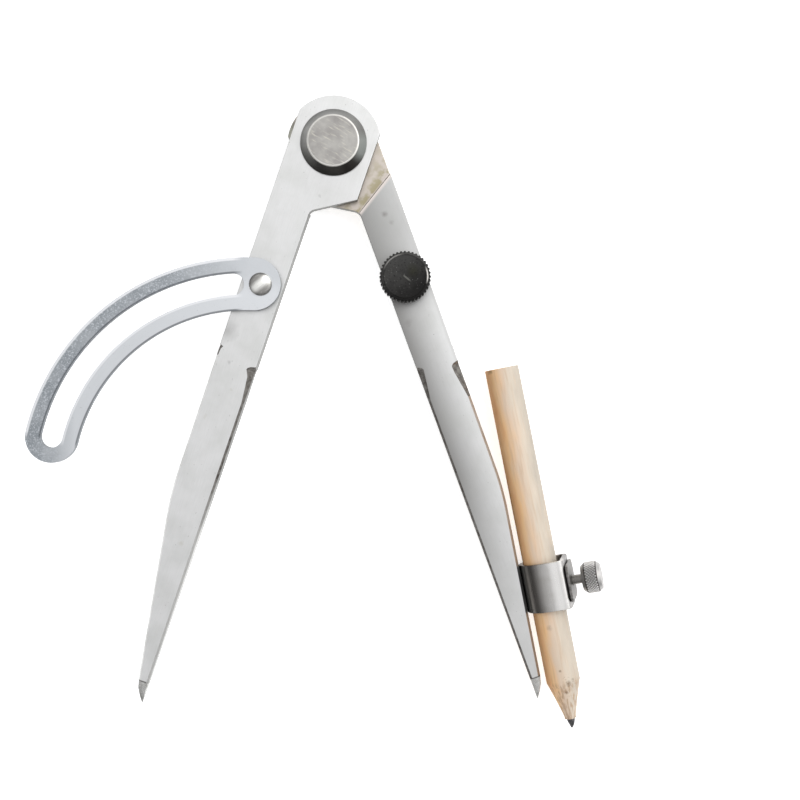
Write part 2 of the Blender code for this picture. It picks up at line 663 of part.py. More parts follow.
def main():
    clear_scene()
    ground_steel = make_material("ground_steel", (0.62, 0.62, 0.60), 0.38, 1.0)
    point_steel = make_material("point_steel", (0.50, 0.50, 0.49), 0.30, 1.0)
    cap_steel = make_material("cap_steel", (0.46, 0.45, 0.43), 0.42, 1.0)
    spring_steel = make_material("spring_steel", (0.30, 0.30, 0.30), 0.40, 1.0)
    zinc = make_material("zinc_plate", (0.60, 0.63, 0.66), 0.34, 1.0)
    rivet_steel = make_material("rivet_steel", (0.56, 0.56, 0.55), 0.36, 1.0)
    black_oxide = make_material("black_oxide", (0.035, 0.035, 0.036), 0.48, 0.7)
    screw_steel = make_material("screw_steel", (0.42, 0.41, 0.40), 0.36, 1.0)
    stainless = make_material("stainless_strip", (0.62, 0.61, 0.58), 0.24, 1.0)
    pencil_wood = make_material("pencil_wood", (0.74, 0.55, 0.36), 0.72, 0.0)
    graphite = make_material("graphite", (0.07, 0.07, 0.075), 0.42, 0.3)

    # A frame for each leg, turned about the hinge: x runs down the leg. The right leg's y is its outer side,
    # and the left leg's is its inner side.
    downwards = -math.pi / 2
    left_frame = make_frame("left_leg_frame", rotation=(0, 0, downwards - LEG_SPREAD))
    right_frame = make_frame("right_leg_hinge", rotation=(0, 0, downwards + LEG_SPREAD))
    left_leg = make_leg("left", left_frame, ground_steel, True)
    right_leg = make_leg("right", right_frame, ground_steel, False)
    make_point("left", left_frame, point_steel, True)
    make_point("right", right_frame, point_steel, False)
    make_hinge(cap_steel, spring_steel)

    wing_frame = make_frame("wing_pivot", left_frame, (RIVET_ALONG, -RIVET_ACROSS, 0))
    bpy.context.view_layer.update()
    make_wing(wing_frame, left_leg, zinc, rivet_steel)

    lock_frame = make_frame("lock_axis", right_frame, (LOCK_ALONG, LOCK_ACROSS, 0))
    make_lock(lock_frame, right_leg, black_oxide, screw_steel)

    pencil_frame = make_frame("pencil_axis", right_frame, pencil_place(), (0, 0, -taper_angle()))
    make_pencil(pencil_frame, pencil_wood, graphite)
    off_axis = CLAMP_BORE - PENCIL_RADIUS - FIT_GAP
    clamp_frame = make_frame("clamp_screw_axis", pencil_frame, (0, off_axis, 0), (CLAMP_ROLL, 0, 0))
    make_clamp(clamp_frame, stainless, screw_steel)


main()
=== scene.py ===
# %% [markdown]
# # A wing compass, piece by piece
# The compass lies flat on a pale table. Two steel legs turn on a pin at the top. A slotted wing swings on
# the left leg, a knurled knob on the right leg locks it, and a short pencil is clamped beside the right
# leg's point.
#
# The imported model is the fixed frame: it says where each axis is and how much room each piece has. Every
# piece is modelled again here with its small shapes, and stands in for the plain solid of the frame.

# %% Load the frame
import json
import math

import bmesh
import bpy
from mathutils import Matrix, Vector


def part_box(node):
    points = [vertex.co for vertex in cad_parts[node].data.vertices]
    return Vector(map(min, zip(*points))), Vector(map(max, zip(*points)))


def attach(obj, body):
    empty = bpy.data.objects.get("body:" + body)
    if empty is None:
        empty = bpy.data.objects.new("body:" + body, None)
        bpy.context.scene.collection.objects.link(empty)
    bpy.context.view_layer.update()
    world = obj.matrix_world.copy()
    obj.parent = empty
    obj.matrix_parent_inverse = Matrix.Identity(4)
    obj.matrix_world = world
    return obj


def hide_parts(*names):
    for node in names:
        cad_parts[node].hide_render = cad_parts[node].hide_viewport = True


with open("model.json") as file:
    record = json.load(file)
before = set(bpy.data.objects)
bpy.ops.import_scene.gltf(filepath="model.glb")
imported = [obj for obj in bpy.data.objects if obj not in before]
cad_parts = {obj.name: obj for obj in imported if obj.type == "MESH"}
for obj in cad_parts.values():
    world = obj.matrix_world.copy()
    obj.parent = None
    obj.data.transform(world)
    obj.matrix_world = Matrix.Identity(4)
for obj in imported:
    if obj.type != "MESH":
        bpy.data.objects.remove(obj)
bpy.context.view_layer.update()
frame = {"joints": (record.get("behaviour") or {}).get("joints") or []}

MM = 0.001
joints = {joint["name"]: joint for joint in frame["joints"]}

# %% [markdown]
# ## Working by hand, in code
# Each step below is a tool from Blender's edit mode. A primitive is added and named, its place is put into
# its mesh, and edit mode is opened on it. Tools act on what is selected, so faces, edges and corners are
# picked by a test of where they are or which way they face.

# %% Opening, picking and closing
PICK_REACH = 0.02 * MM  # how near to a named place a corner has to be


def open_piece(name):
    """Names the primitive that was just added and opens it in edit mode, with its place in its mesh."""
    piece = bpy.context.object
    piece.name = name
    piece.data.name = name
    bpy.ops.object.transform_apply(location=True, rotation=True, scale=True)
    bpy.ops.object.mode_set(mode="EDIT")
    bpy.ops.mesh.select_mode(type="VERT")
    bpy.ops.mesh.select_all(action="SELECT")
    return piece


def middle(item):
    """The middle of a corner, an edge or a face."""
    if isinstance(item, bmesh.types.BMVert):
        return item.co
    return sum((corner.co for corner in item.verts), Vector()) / len(item.verts)


def pick(kind, test):
    """Selects the corners, edges or faces of the open piece that pass a test, and nothing else."""
    bpy.ops.mesh.select_mode(type=kind)
    bpy.ops.mesh.select_all(action="DESELECT")
    shape = bmesh.from_edit_mesh(bpy.context.object.data)
    for item in {"VERT": shape.verts, "EDGE": shape.edges, "FACE": shape.faces}[kind]:
        if test(item):
            item.select_set(True)
    shape.select_flush_mode()
    bmesh.update_edit_mesh(bpy.context.object.data)


def near(place):
    """A test for a corner at a place."""
    return lambda corner: (corner.co - Vector(place)).length < PICK_REACH


def close_shell():
    """Merges doubled corners, turns all faces outwards and leaves edit mode."""
    bpy.ops.mesh.select_mode(type="VERT")
    bpy.ops.mesh.select_all(action="SELECT")
    bpy.ops.mesh.remove_doubles(threshold=0.002 * MM)
    bpy.ops.mesh.normals_make_consistent(inside=False)
    bpy.ops.object.mode_set(mode="OBJECT")


# %% [markdown]
# ## Tracing
# Most parts here are cut from bar or sheet, or turned on a lathe, so most begin as an outline. A plane is
# merged to a single corner, and the corner is extruded from point to point. For an arc, the same corner is
# spun about the arc's middle. Spinning the whole outline about an axis is the lathe.

# %% Tracing tools
ROUND_STEPS = 96


def extrude(step):
    bpy.ops.mesh.extrude_region_move(TRANSFORM_OT_translate={"value": step})


def draw_on(start, points):
    """Extrudes the selected corner, which is at start, from point to point."""
    for before, after in zip([start, *points], points):
        extrude(Vector(after) - Vector(before))


def trace(name, points):
    """A chain of edges through some points. It stays open in edit mode, with its last corner selected."""
    bpy.ops.object.select_all(action="DESELECT")
    bpy.ops.mesh.primitive_plane_add(size=MM, location=points[0])
    piece = open_piece(name)
    bpy.ops.mesh.merge(type="CENTER")
    draw_on(points[0], points[1:])
    return piece


def spin(centre, turn, steps):
    """Spins what is selected about Z. The tool itself turns clockwise, so the angle changes sign."""
    bpy.ops.mesh.spin(steps=steps, angle=-turn, center=centre, axis=(0, 0, 1))


def fill():
    """Closes the traced outline with a face, and leaves the face selected."""
    bpy.ops.mesh.select_all(action="SELECT")
    bpy.ops.mesh.remove_doubles(threshold=0.002 * MM)
    bpy.ops.mesh.edge_face_add()
    bpy.ops.mesh.select_mode(type="FACE")
    bpy.ops.mesh.select_all(action="SELECT")


def round_corner(place, radius, turn, steps):
    """Rounds a corner of a flat outline, where its edges turn by an angle."""
    pick("VERT", near(place))
    reach = radius * math.tan(turn / 2)
    bpy.ops.mesh.bevel(affect="VERTICES", offset_type="ABSOLUTE", offset=reach, segments=steps)


def turned(name, profile, steps=ROUND_STEPS):
    """A lathe: half a section, as (radius, height) points, spun about Z into a closed body."""
    piece = trace(name, [(radius, 0, height) for radius, height in profile])
    bpy.ops.mesh.select_all(action="SELECT")
    bpy.ops.mesh.remove_doubles(threshold=0.002 * MM)
    spin((0, 0, 0), math.tau, steps)
    close_shell()
    return piece


# %% [markdown]
# ## Cutting, softening and placing
# Holes are drilled with a Boolean, as a drill would, and edges are broken with a Bevel modifier. Both are
# applied at once, so the mesh is always the real one. A piece is modelled where it is easiest, upright at the
# origin, and is then carried to its place, which goes into its mesh.

# %% Finishing tools
SMOOTH_UNDER = math.radians(33)


def take(piece):
    """Makes one piece the only selected and active one."""
    bpy.ops.object.select_all(action="DESELECT")
    piece.select_set(True)
    bpy.context.view_layer.objects.active = piece


def use_modifier(piece, kind, **settings):
    """Adds a modifier, sets it and applies it."""
    take(piece)
    modifier = piece.modifiers.new(kind, kind)
    for name, value in settings.items():
        setattr(modifier, name, value)
    bpy.ops.object.modifier_apply(modifier=modifier.name)


def cut(piece, cutter, operation="DIFFERENCE", **more):
    """Takes a cutter out of a piece, or with UNION adds it, and throws the cutter away."""
    use_modifier(piece, "BOOLEAN", object=cutter, operation=operation, solver="EXACT", **more)
    bpy.data.objects.remove(cutter)


def drill(piece, radius, start, end, steps=ROUND_STEPS):
    """Drills a round hole from one point to another."""
    start, end = Vector(start), Vector(end)
    way = (end - start).to_track_quat("Z", "Y").to_euler()
    bpy.ops.object.select_all(action="DESELECT")
    bpy.ops.mesh.primitive_cylinder_add(
        vertices=steps, radius=radius, depth=(end - start).length, location=(start + end) / 2, rotation=way
    )
    cut(piece, bpy.context.object)


def break_edges(piece, width, steps=2, over=40):
    """Rounds every edge that is sharper than an angle in degrees."""
    use_modifier(
        piece,
        "BEVEL",
        width=width,
        segments=steps,
        limit_method="ANGLE",
        angle_limit=math.radians(over),
        use_clamp_overlap=True,
        miter_outer="MITER_ARC",
    )


def place(piece, matrix):
    """Carries a piece to its place and puts the place into its mesh."""
    take(piece)
    piece.matrix_world = matrix
    bpy.ops.object.transform_apply(location=True, rotation=True, scale=True)


def frame_on(origin, x_axis, z_axis):
    """A place whose x and z run along two directions that are square to each other."""
    x_axis, z_axis = Vector(x_axis), Vector(z_axis)
    turn = Matrix((x_axis, z_axis.cross(x_axis), z_axis)).transposed()
    return Matrix.Translation(origin) @ turn.to_4x4()


def belongs(piece, body, slot, *nodes):
    """Shades a finished piece and ties it to its body and the frame's nodes that it stands for. Its slot is
    not used.
    """
    take(piece)
    bpy.ops.object.shade_smooth_by_angle(angle=SMOOTH_UNDER)
    use_modifier(piece, "WEIGHTED_NORMAL", keep_sharp=True)
    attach(piece, body)
    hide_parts(*nodes)
    faces = sum(len(face.vertices) - 2 for face in piece.data.polygons)
    print(f"{piece.name}: {faces} triangles, rides on {body}")


# %% [markdown]
# ## Heights and axes
# The stack at the hinge, from the table up: cap, spring washer, legs, pin head. The heights come from the
# frame's boxes, and the axes from its joints, so nothing here has to be fitted.

# %% Read the frame
leg_low, leg_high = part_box("right_leg")
LEG_THICKNESS = leg_high.z - leg_low.z
LEG_MIDDLE = (leg_high.z + leg_low.z) / 2
LEG_FRONT = leg_high.z
LEG_SPREAD = math.radians(19.5)

rivet_place = Vector(joints["wing_swing"]["pos_m"])
lock_place = Vector(joints["lock_turn"]["pos_m"])
clamp_place = Vector(joints["clamp_turn"]["pos_m"])
clamp_axis = Vector(joints["clamp_turn"]["axis"]).normalized()
pencil_axis = Vector(joints["pencil_slide"]["axis"]).normalized()

right_place = Matrix.Translation((0, 0, LEG_MIDDLE)) @ Matrix.Rotation(LEG_SPREAD - math.pi / 2, 4, "Z")
left_place = Matrix.Translation((0, 0, LEG_MIDDLE)) @ Matrix.Rotation(-LEG_SPREAD - math.pi / 2, 4, "Z")
left_place = left_place @ Matrix.Rotation(math.pi, 4, "X")
print(f"legs {LEG_THICKNESS / MM:.2f} mm thick, front face {LEG_FRONT / MM:.2f} mm above the table")

# %% [markdown]
# ## The legs
# Both legs are the same forging. A flat bar ends in a round head of half its thickness, and the left leg is
# turned over, so that the two heads lie on each other in a half lap. The outer edge runs straight to a bend
# and then in to the point, and from the bend on the bar also gets thinner.
#
# The outline could be joined from primitives with Booleans. Tracing it is cleaner, because the head, the
# shoulder and the bend then flow into one another with no seams between them.

# %% One forging: outline, head and lap
LEG_WIDTH = 10.1 * MM
WIDTH_AT_BEND = 9.66 * MM
BEND = 90.4 * MM
BEND_RADIUS = 60.0 * MM
PARALLEL_TO = 30.0 * MM
LEG_END = 135.2 * MM
END_WIDTH = 2.65 * MM
INNER_EDGE = 0.12 * MM
HEAD_RADIUS = 11.19 * MM
HEAD_SIDE = 9.65 * MM
SHOULDER_TOP = 11.0 * MM
SHOULDER_FOOT = 17.05 * MM
SHOULDER_FILLET = 2.0 * MM
LAP_CLEARANCE = 0.6 * MM
LAP_HEIGHT = -0.05 * MM

half = LEG_THICKNESS / 2
head_start = math.pi - math.asin(LEG_WIDTH / HEAD_RADIUS)
head_end = math.pi + math.asin(HEAD_SIDE / HEAD_RADIUS)
taper = math.atan2(WIDTH_AT_BEND - END_WIDTH, LEG_END - BEND)
upper_slope = math.atan2(LEG_WIDTH - WIDTH_AT_BEND, BEND - PARALLEL_TO)
shoulder_turn = math.atan2(HEAD_SIDE + INNER_EDGE, SHOULDER_FOOT - SHOULDER_TOP)


def on_head(angle):
    return (HEAD_RADIUS * math.cos(angle), HEAD_RADIUS * math.sin(angle), -half)


forging = trace(
    "leg_forging",
    [
        (LEG_END, INNER_EDGE, -half),
        (LEG_END, END_WIDTH, -half),
        (BEND, WIDTH_AT_BEND, -half),
        (PARALLEL_TO, LEG_WIDTH, -half),
        on_head(head_start),
    ],
)
spin((0, 0, -half), head_end - head_start, 40)
draw_on(on_head(head_end), [(SHOULDER_TOP, -HEAD_SIDE, -half), (SHOULDER_FOOT, INNER_EDGE, -half)])
fill()
round_corner((BEND, WIDTH_AT_BEND, -half), BEND_RADIUS, taper - upper_slope, 8)
round_corner((SHOULDER_FOOT, INNER_EDGE, -half), SHOULDER_FILLET, shoulder_turn, 8)

# The whole outline is raised to the lap, and from there only the bar goes on to its full thickness.
pick("FACE", lambda face: True)
extrude((0, 0, half + LAP_HEIGHT))
step_slope = (SHOULDER_FOOT - SHOULDER_TOP) / (HEAD_SIDE + INNER_EDGE)
bpy.ops.mesh.bisect(
    plane_co=(
        SHOULDER_FOOT + LAP_CLEARANCE, -INNER_EDGE, 0
    ), plane_no=(1, step_slope, 0), threshold=0.001 * MM
)
pick(
    "FACE", lambda face: face.normal.z ** 2 > 0.9 and middle(face).z > -half / 2 and middle(face).x > 30 * MM
)
extrude((0, 0, half - LAP_HEIGHT))
close_shell()
print("forging outline:", len(forging.data.vertices), "corners")

# %% [markdown]
# ## Grinding and drilling the forging
# After forging, the lower half is ground. The bar is thinned towards the point on both faces, and its four
# long edges are broken with a narrow chamfer. Where the wheel first came down on an edge it bit deeper,
# which leaves the little scoops half way down each leg.
#
# The chamfer is the bevel tool on a picked run of edges. A scoop is a cutter whose outline is drawn on the
# face and drawn out at 45 degrees. It brings its own material along, so the scoops keep a darker,
# unpolished skin.

# %% Thin the lower end
THIN_FROM = 96.0 * MM
END_THICKNESS = 3.2 * MM


def reopen(piece):
    """Opens a finished shell in edit mode again, with everything selected."""
    take(piece)
    bpy.ops.object.mode_set(mode="EDIT")
    bpy.ops.mesh.select_mode(type="VERT")
    bpy.ops.mesh.select_all(action="SELECT")


def skin_faces(piece, skin, test):
    """Gives a material of their own to the faces that pass a test."""
    piece.data.materials.append(skin)
    reopen(piece)
    pick("FACE", test)
    piece.active_material_index = len(piece.data.materials) - 1
    bpy.ops.object.material_slot_assign()
    bpy.ops.object.mode_set(mode="OBJECT")


def bisect_at(along):
    """Splits the open piece across, so that an edge run can end there."""
    bpy.ops.mesh.select_all(action="SELECT")
    bpy.ops.mesh.bisect(plane_co=(along, 0, 0), plane_no=(1, 0, 0), threshold=0.001 * MM)


reopen(forging)
bisect_at(THIN_FROM)
pick("VERT", lambda corner: corner.co.x > LEG_END - PICK_REACH)
bpy.ops.transform.resize(value=(1, 1, END_THICKNESS / LEG_THICKNESS), center_override=(LEG_END, 0, 0))

# %% Chamfer the long edges
ground_steel = bpy.data.materials.new("ground_steel")
wheel_marks = bpy.data.materials.new("wheel_marks")
forging.data.materials.append(ground_steel)
forging.data.materials.append(wheel_marks)

STEP_CHAMFER = 0.2 * MM
# side of the bar, face, where the chamfer starts, its width, and the scoop at its start: width, length, neck
GROUND_EDGES = [
    ("outer", 1, 59.0 * MM, 0.60 * MM, 1.85 * MM, 10.0 * MM, 0.93),
    ("inner", 1, 57.4 * MM, 0.50 * MM, 1.40 * MM, 9.5 * MM, 0.90),
    ("inner", -1, 56.9 * MM, 0.55 * MM, 2.00 * MM, 10.5 * MM, 0.62),
    ("outer", -1, 54.4 * MM, 0.34 * MM, 0.85 * MM, 3.6 * MM, 0.60),
]


def along_edge(side, face, start):
    """A test for the run of edges on one long side of one face, from a distance along the bar."""

    def test(edge):
        ends = [corner.co for corner in edge.verts]
        outer = [end.y > END_WIDTH - PICK_REACH for end in ends]
        return (
            all(end.x > start - PICK_REACH and end.z * face > half / 2 for end in ends)
            and all(outer) == (side == "outer")
            and any(outer) == (side == "outer")
            and abs(ends[0].x - ends[1].x) > PICK_REACH
        )

    return test


for side, face, start, width, *_ in GROUND_EDGES:
    bisect_at(start)
for side, face, start, width, *_ in GROUND_EDGES:
    pick("EDGE", along_edge(side, face, start))
    skin = 1 if side == "inner" else 0  # the inner chamfers were left unpolished
    bpy.ops.mesh.bevel(affect="EDGES", offset_type="OFFSET", offset=width, segments=1, material=skin)

step_way = Vector((-step_slope, 1, 0)).normalized()
step_foot = Vector((SHOULDER_FOOT + LAP_CLEARANCE, -INNER_EDGE, half))
pick(
    "EDGE",
    lambda edge: all(
        (corner.co - step_foot).cross(step_way).length < PICK_REACH and corner.co.z > half - PICK_REACH
        for corner in edge.verts
    ),
)
bpy.ops.mesh.bevel(affect="EDGES", offset_type="OFFSET", offset=STEP_CHAMFER, segments=1)
close_shell()
forged_edge = bpy.data.materials.new("forged_edge")
skin_faces(forging, forged_edge, lambda face: abs(face.normal.z) < 0.3)

# %% Drill the hinge hole and the point's hole
PIN_HOLE = 3.1 * MM
SPIGOT_HOLE = 0.75 * MM
SPIGOT_LENGTH = 5.0 * MM
SPIGOT_ACROSS = (END_WIDTH + INNER_EDGE) / 2
EDGE_BREAK = 0.22 * MM

drill(forging, PIN_HOLE, (0, 0, -LEG_THICKNESS), (0, 0, LEG_THICKNESS))
spigot_floor = LEG_END - SPIGOT_LENGTH - 0.1 * MM
drill(forging, SPIGOT_HOLE, (spigot_floor, SPIGOT_ACROSS, 0), (LEG_END + 5 * MM, SPIGOT_ACROSS, 0), 32)
break_edges(forging, EDGE_BREAK, steps=3, over=55)

# %% Cut the scoops
SCOOP_PEAK = 0.11  # where along a scoop it is widest
SCOOP_NECK = 0.26  # where its round head has drawn in to the long run out
SCOOP_LAST = 0.7  # its width where it ends, as a share of the chamfer's
SCOOP_LEAD = 0.8 * MM  # how far it starts before the chamfer
SCOOP_STEPS = 27
SCOOP_LIFT = 0.3 * MM
SCOOP_DEPTH = 3.2 * MM


def scoop_share(step, neck, last):
    """A scoop's width along its length: a round head, a neck and a long run out to the last share."""
    if step <= SCOOP_PEAK:
        return math.sin(math.pi / 2 * step / SCOOP_PEAK) ** 0.6
    if step <= SCOOP_NECK:
        return 1 - (1 - neck) * (step - SCOOP_PEAK) / (SCOOP_NECK - SCOOP_PEAK)
    return neck + (last - neck) * (step - SCOOP_NECK) / (1 - SCOOP_NECK)


def edge_line(side, along):
    """Where one long edge of the bar lies, above the bend."""
    if side == "inner":
        return INNER_EDGE
    return LEG_WIDTH - (along - PARALLEL_TO) * math.tan(upper_slope)


def scoop_cutter(side, face, start, width, widest, length, neck):
    """A scoop's outline, a little above the face, drawn out at 45 degrees to the outside."""
    out = 1 if side == "outer" else -1
    height = face * (half + SCOOP_LIFT)
    points = []
    for step in range(SCOOP_STEPS + 1):
        share = step / SCOOP_STEPS
        along = start - SCOOP_LEAD + length * share
        reach = widest * scoop_share(share, neck, SCOOP_LAST * width / widest) + SCOOP_LIFT
        points.append((along, edge_line(side, along) - out * reach, height))
    for along in (points[-1][0], points[0][0]):
        points.append((along, edge_line(side, along) + out * SCOOP_DEPTH, height))
    cutter = trace("scoop_cutter", points)
    fill()
    drop = SCOOP_LIFT + SCOOP_DEPTH
    extrude((0, out * drop, -face * drop))
    close_shell()
    cutter.data.materials.append(wheel_marks)
    return cutter


for ground_edge in GROUND_EDGES:
    cut(forging, scoop_cutter(*ground_edge), material_mode="TRANSFER")
print("forging ground and drilled:", len(forging.data.polygons), "faces")

# %% [markdown]
# ## A left and a right leg
# The forging is copied, each copy with a mesh of its own. The left one is drilled and countersunk for the
# wing's rivet and turned over. The right one is drilled for the lock screw.

# %% Two legs
RIVET_ALONG = 37.3 * MM
RIVET_ACROSS = 5.2 * MM
RIVET_HOLE = 1.6 * MM
RIVET_SINK = 0.7 * MM
LOCK_ALONG = 36.0 * MM
LOCK_ACROSS = 4.8 * MM
LOCK_HOLE = 2.1 * MM


def copy(piece, name):
    """A copy with its own mesh."""
    take(piece)
    bpy.ops.object.duplicate(linked=False)
    twin = bpy.context.object
    twin.name = name
    twin.data.name = name
    return twin


def drill_leg(leg, radius, along, across):
    """Drills a hole right through a leg, square to its face."""
    drill(leg, radius, (along, across, -half - MM), (along, across, half + MM), 64)


left_leg = copy(forging, "left_leg_bar")
right_leg = copy(forging, "right_leg_bar")
bpy.data.objects.remove(forging)

drill_leg(left_leg, RIVET_HOLE, RIVET_ALONG, RIVET_ACROSS)
bpy.ops.object.select_all(action="DESELECT")
bpy.ops.mesh.primitive_cone_add(
    vertices=64,
    radius1=RIVET_HOLE - 0.1 * MM,
    radius2=RIVET_HOLE + RIVET_SINK,
    depth=RIVET_SINK + 0.2 * MM,
    location=(RIVET_ALONG, RIVET_ACROSS, half - RIVET_SINK / 2),
)
cut(left_leg, bpy.context.object)
drill_leg(right_leg, LOCK_HOLE, LOCK_ALONG, LOCK_ACROSS)

place(left_leg, left_place)
place(right_leg, right_place)
belongs(left_leg, "left_leg", "ground_steel", "left_leg")
belongs(right_leg, "right_leg", "ground_steel", "right_leg")

# %% [markdown]
# ## The points
# A hardened point stands in the end of each leg on a spigot, which is why a fine line crosses the leg
# there. It starts as a plane of the leg's end section, is extruded three times and drawn in to the inner edge
# each time. Its long edges are bevelled by a share of their width, so that the facets run out together at
# the tip.

# %% Two points
POINT_GAP = 0.05 * MM
POINT_WAIST = 1.75 * MM
POINT_LENGTH = 5.0 * MM
SPIGOT_RADIUS = 0.65 * MM
# distance from the leg's end, width and half thickness of the point's sections
POINT_SECTIONS = [
    (0.0, 2.50 * MM, 1.55 * MM),
    (POINT_WAIST, 2.08 * MM, 1.30 * MM),
    (3.6 * MM, 1.10 * MM, 0.74 * MM),
    (POINT_LENGTH, 0.20 * MM, 0.11 * MM),
]


def make_point(name):
    """A hardened point with its spigot, in the leg's own frame."""
    bpy.ops.object.select_all(action="DESELECT")
    start = LEG_END + POINT_GAP
    _, width, thick = POINT_SECTIONS[0]
    bpy.ops.mesh.primitive_plane_add(
        size=1, location=(start, INNER_EDGE + width / 2, 0), rotation=(0, math.pi / 2, 0)
    )
    bpy.context.object.scale = (2 * thick, width, 1)
    point = open_piece(name)
    for before, after in zip(POINT_SECTIONS, POINT_SECTIONS[1:]):
        extrude((after[0] - before[0], 0, 0))
        pinch = (1, after[1] / before[1], after[2] / before[2])
        bpy.ops.transform.resize(value=pinch, center_override=(start + after[0], INNER_EDGE, 0))
    bpy.ops.mesh.select_all(action="SELECT")
    bpy.ops.mesh.normals_make_consistent(inside=False)
    pick("EDGE", lambda edge: abs(edge.verts[0].co.x - edge.verts[1].co.x) > PICK_REACH)
    bpy.ops.mesh.bevel(affect="EDGES", offset_type="PERCENT", offset_pct=19, segments=2)
    close_shell()
    bpy.ops.object.select_all(action="DESELECT")
    spigot = (LEG_END - SPIGOT_LENGTH, start + POINT_WAIST)
    bpy.ops.mesh.primitive_cylinder_add(
        vertices=32,
        radius=SPIGOT_RADIUS,
        depth=spigot[1] - spigot[0],
        location=(sum(spigot) / 2, SPIGOT_ACROSS, 0),
        rotation=(0, math.pi / 2, 0),
    )
    cut(point, bpy.context.object, "UNION")
    return point


left_point = make_point("left_point_steel")
right_point = copy(left_point, "right_point_steel")
place(left_point, left_place)
place(right_point, right_place)
belongs(left_point, "left_leg", "point_steel", "left_point")
belongs(right_point, "right_leg", "point_steel", "right_point")

# %% [markdown]
# ## The hinge
# A turned pin with a wide, sloping head goes down through both legs. Behind them a spring washer keeps the
# joint stiff, and a cap of the same shape as the head is pressed on the pin's end. The compass rests on
# that cap. All three are lathe work: half a section is traced and spun, and the edges are then broken.

# %% Pin, cap and spring washer
HEAD_BASE_RADIUS = 7.85 * MM
HEAD_FACE_RADIUS = 6.0 * MM
HEAD_RIM = 0.4 * MM
FACE_CORNER = 0.12 * MM
FACE_DISH = 0.03 * MM
RIM_WIDTH = 0.55 * MM
PIN_RADIUS = 3.0 * MM
CAP_BORE = 3.06 * MM
CAP_FLOOR = 0.6 * MM
SPRING_RISE = 0.1 * MM
TURNED_BREAK = 0.12 * MM

pin_low, pin_high = (corner.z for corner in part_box("pivot_pin"))
cap_low, cap_high = (corner.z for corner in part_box("pivot_cap"))
spring_low, spring_high = (corner.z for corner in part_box("pivot_washer"))
pin_head_low = pin_high - (cap_high - cap_low)

hinge_pin = turned(
    "hinge_pin",
    [
        (0, pin_low),
        (PIN_RADIUS, pin_low),
        (PIN_RADIUS, pin_head_low),
        (HEAD_BASE_RADIUS, pin_head_low),
        (HEAD_BASE_RADIUS, pin_head_low + HEAD_RIM),
        (HEAD_FACE_RADIUS + FACE_CORNER, pin_high - FACE_CORNER),
        (HEAD_FACE_RADIUS, pin_high),
        (HEAD_FACE_RADIUS - RIM_WIDTH, pin_high - FACE_DISH),
        (0, pin_high - FACE_DISH),
    ],
    128,
)
break_edges(hinge_pin, TURNED_BREAK, steps=3, over=20)

hinge_cap = turned(
    "hinge_cap",
    [
        (0, cap_low + FACE_DISH),
        (HEAD_FACE_RADIUS - RIM_WIDTH, cap_low + FACE_DISH),
        (HEAD_FACE_RADIUS, cap_low),
        (HEAD_FACE_RADIUS + FACE_CORNER, cap_low + FACE_CORNER),
        (HEAD_BASE_RADIUS, cap_high - HEAD_RIM),
        (HEAD_BASE_RADIUS, cap_high),
        (CAP_BORE, cap_high),
        (CAP_BORE, CAP_FLOOR),
        (0, CAP_FLOOR),
    ],
    128,
)
break_edges(hinge_cap, TURNED_BREAK, steps=3, over=20)

spring_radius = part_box("pivot_washer")[1].x
spring_washer = turned(
    "spring_washer",
    [
        (PIN_HOLE, spring_low),
        (spring_radius, spring_low + SPRING_RISE),
        (spring_radius, spring_high),
        (PIN_HOLE, spring_high - SPRING_RISE),
        (PIN_HOLE, spring_low),
    ],
)
break_edges(spring_washer, 0.06 * MM, steps=2)

belongs(hinge_pin, "left_leg", "cap_steel", "pivot_pin")
belongs(hinge_cap, "left_leg", "cap_steel", "pivot_cap")
belongs(spring_washer, "left_leg", "spring_steel", "pivot_washer")

# %% [markdown]
# ## The wing
# The wing is punched from sheet: an arc with round ends and one long slot. One corner travels round the
# whole outline in four spins, about the arc's middle and about the middle of each round end. The slot is a
# second outline of the same kind, made tall and cut out. The punch leaves round edges on the sheet, and the
# plating makes them rounder still, so the bevel is wide.

# %% Wing
ARC_RADIUS = 47.0 * MM
WING_WIDTH = 12.4 * MM
SLOT_WIDTH = 5.2 * MM
WING_START = math.radians(1.8)
SLOT_START = math.radians(7.9)
WING_END = math.radians(80.3)
WING_SWING = math.radians(-4.7)
ARC_STEPS = 64
END_STEPS = 24
SHEET_EDGE = 0.5 * MM

wing_low, wing_high = (corner.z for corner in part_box("wing"))


def on_arc(radius, angle, height):
    return (-radius * math.sin(angle), radius * math.cos(angle) - ARC_RADIUS, height)


def arc_band(name, width, start, end, low, high):
    """A flat band along the wing's arc with round ends, about the rivet."""
    arc_middle = (0, -ARC_RADIUS, low)
    outer = ARC_RADIUS + width / 2
    band = trace(name, [on_arc(outer, start, low)])
    spin(arc_middle, end - start, ARC_STEPS)
    spin(on_arc(ARC_RADIUS, end, low), math.pi, END_STEPS)
    spin(arc_middle, start - end, ARC_STEPS)
    spin(on_arc(ARC_RADIUS, start, low), math.pi, END_STEPS)
    fill()
    extrude((0, 0, high - low))
    close_shell()
    return band


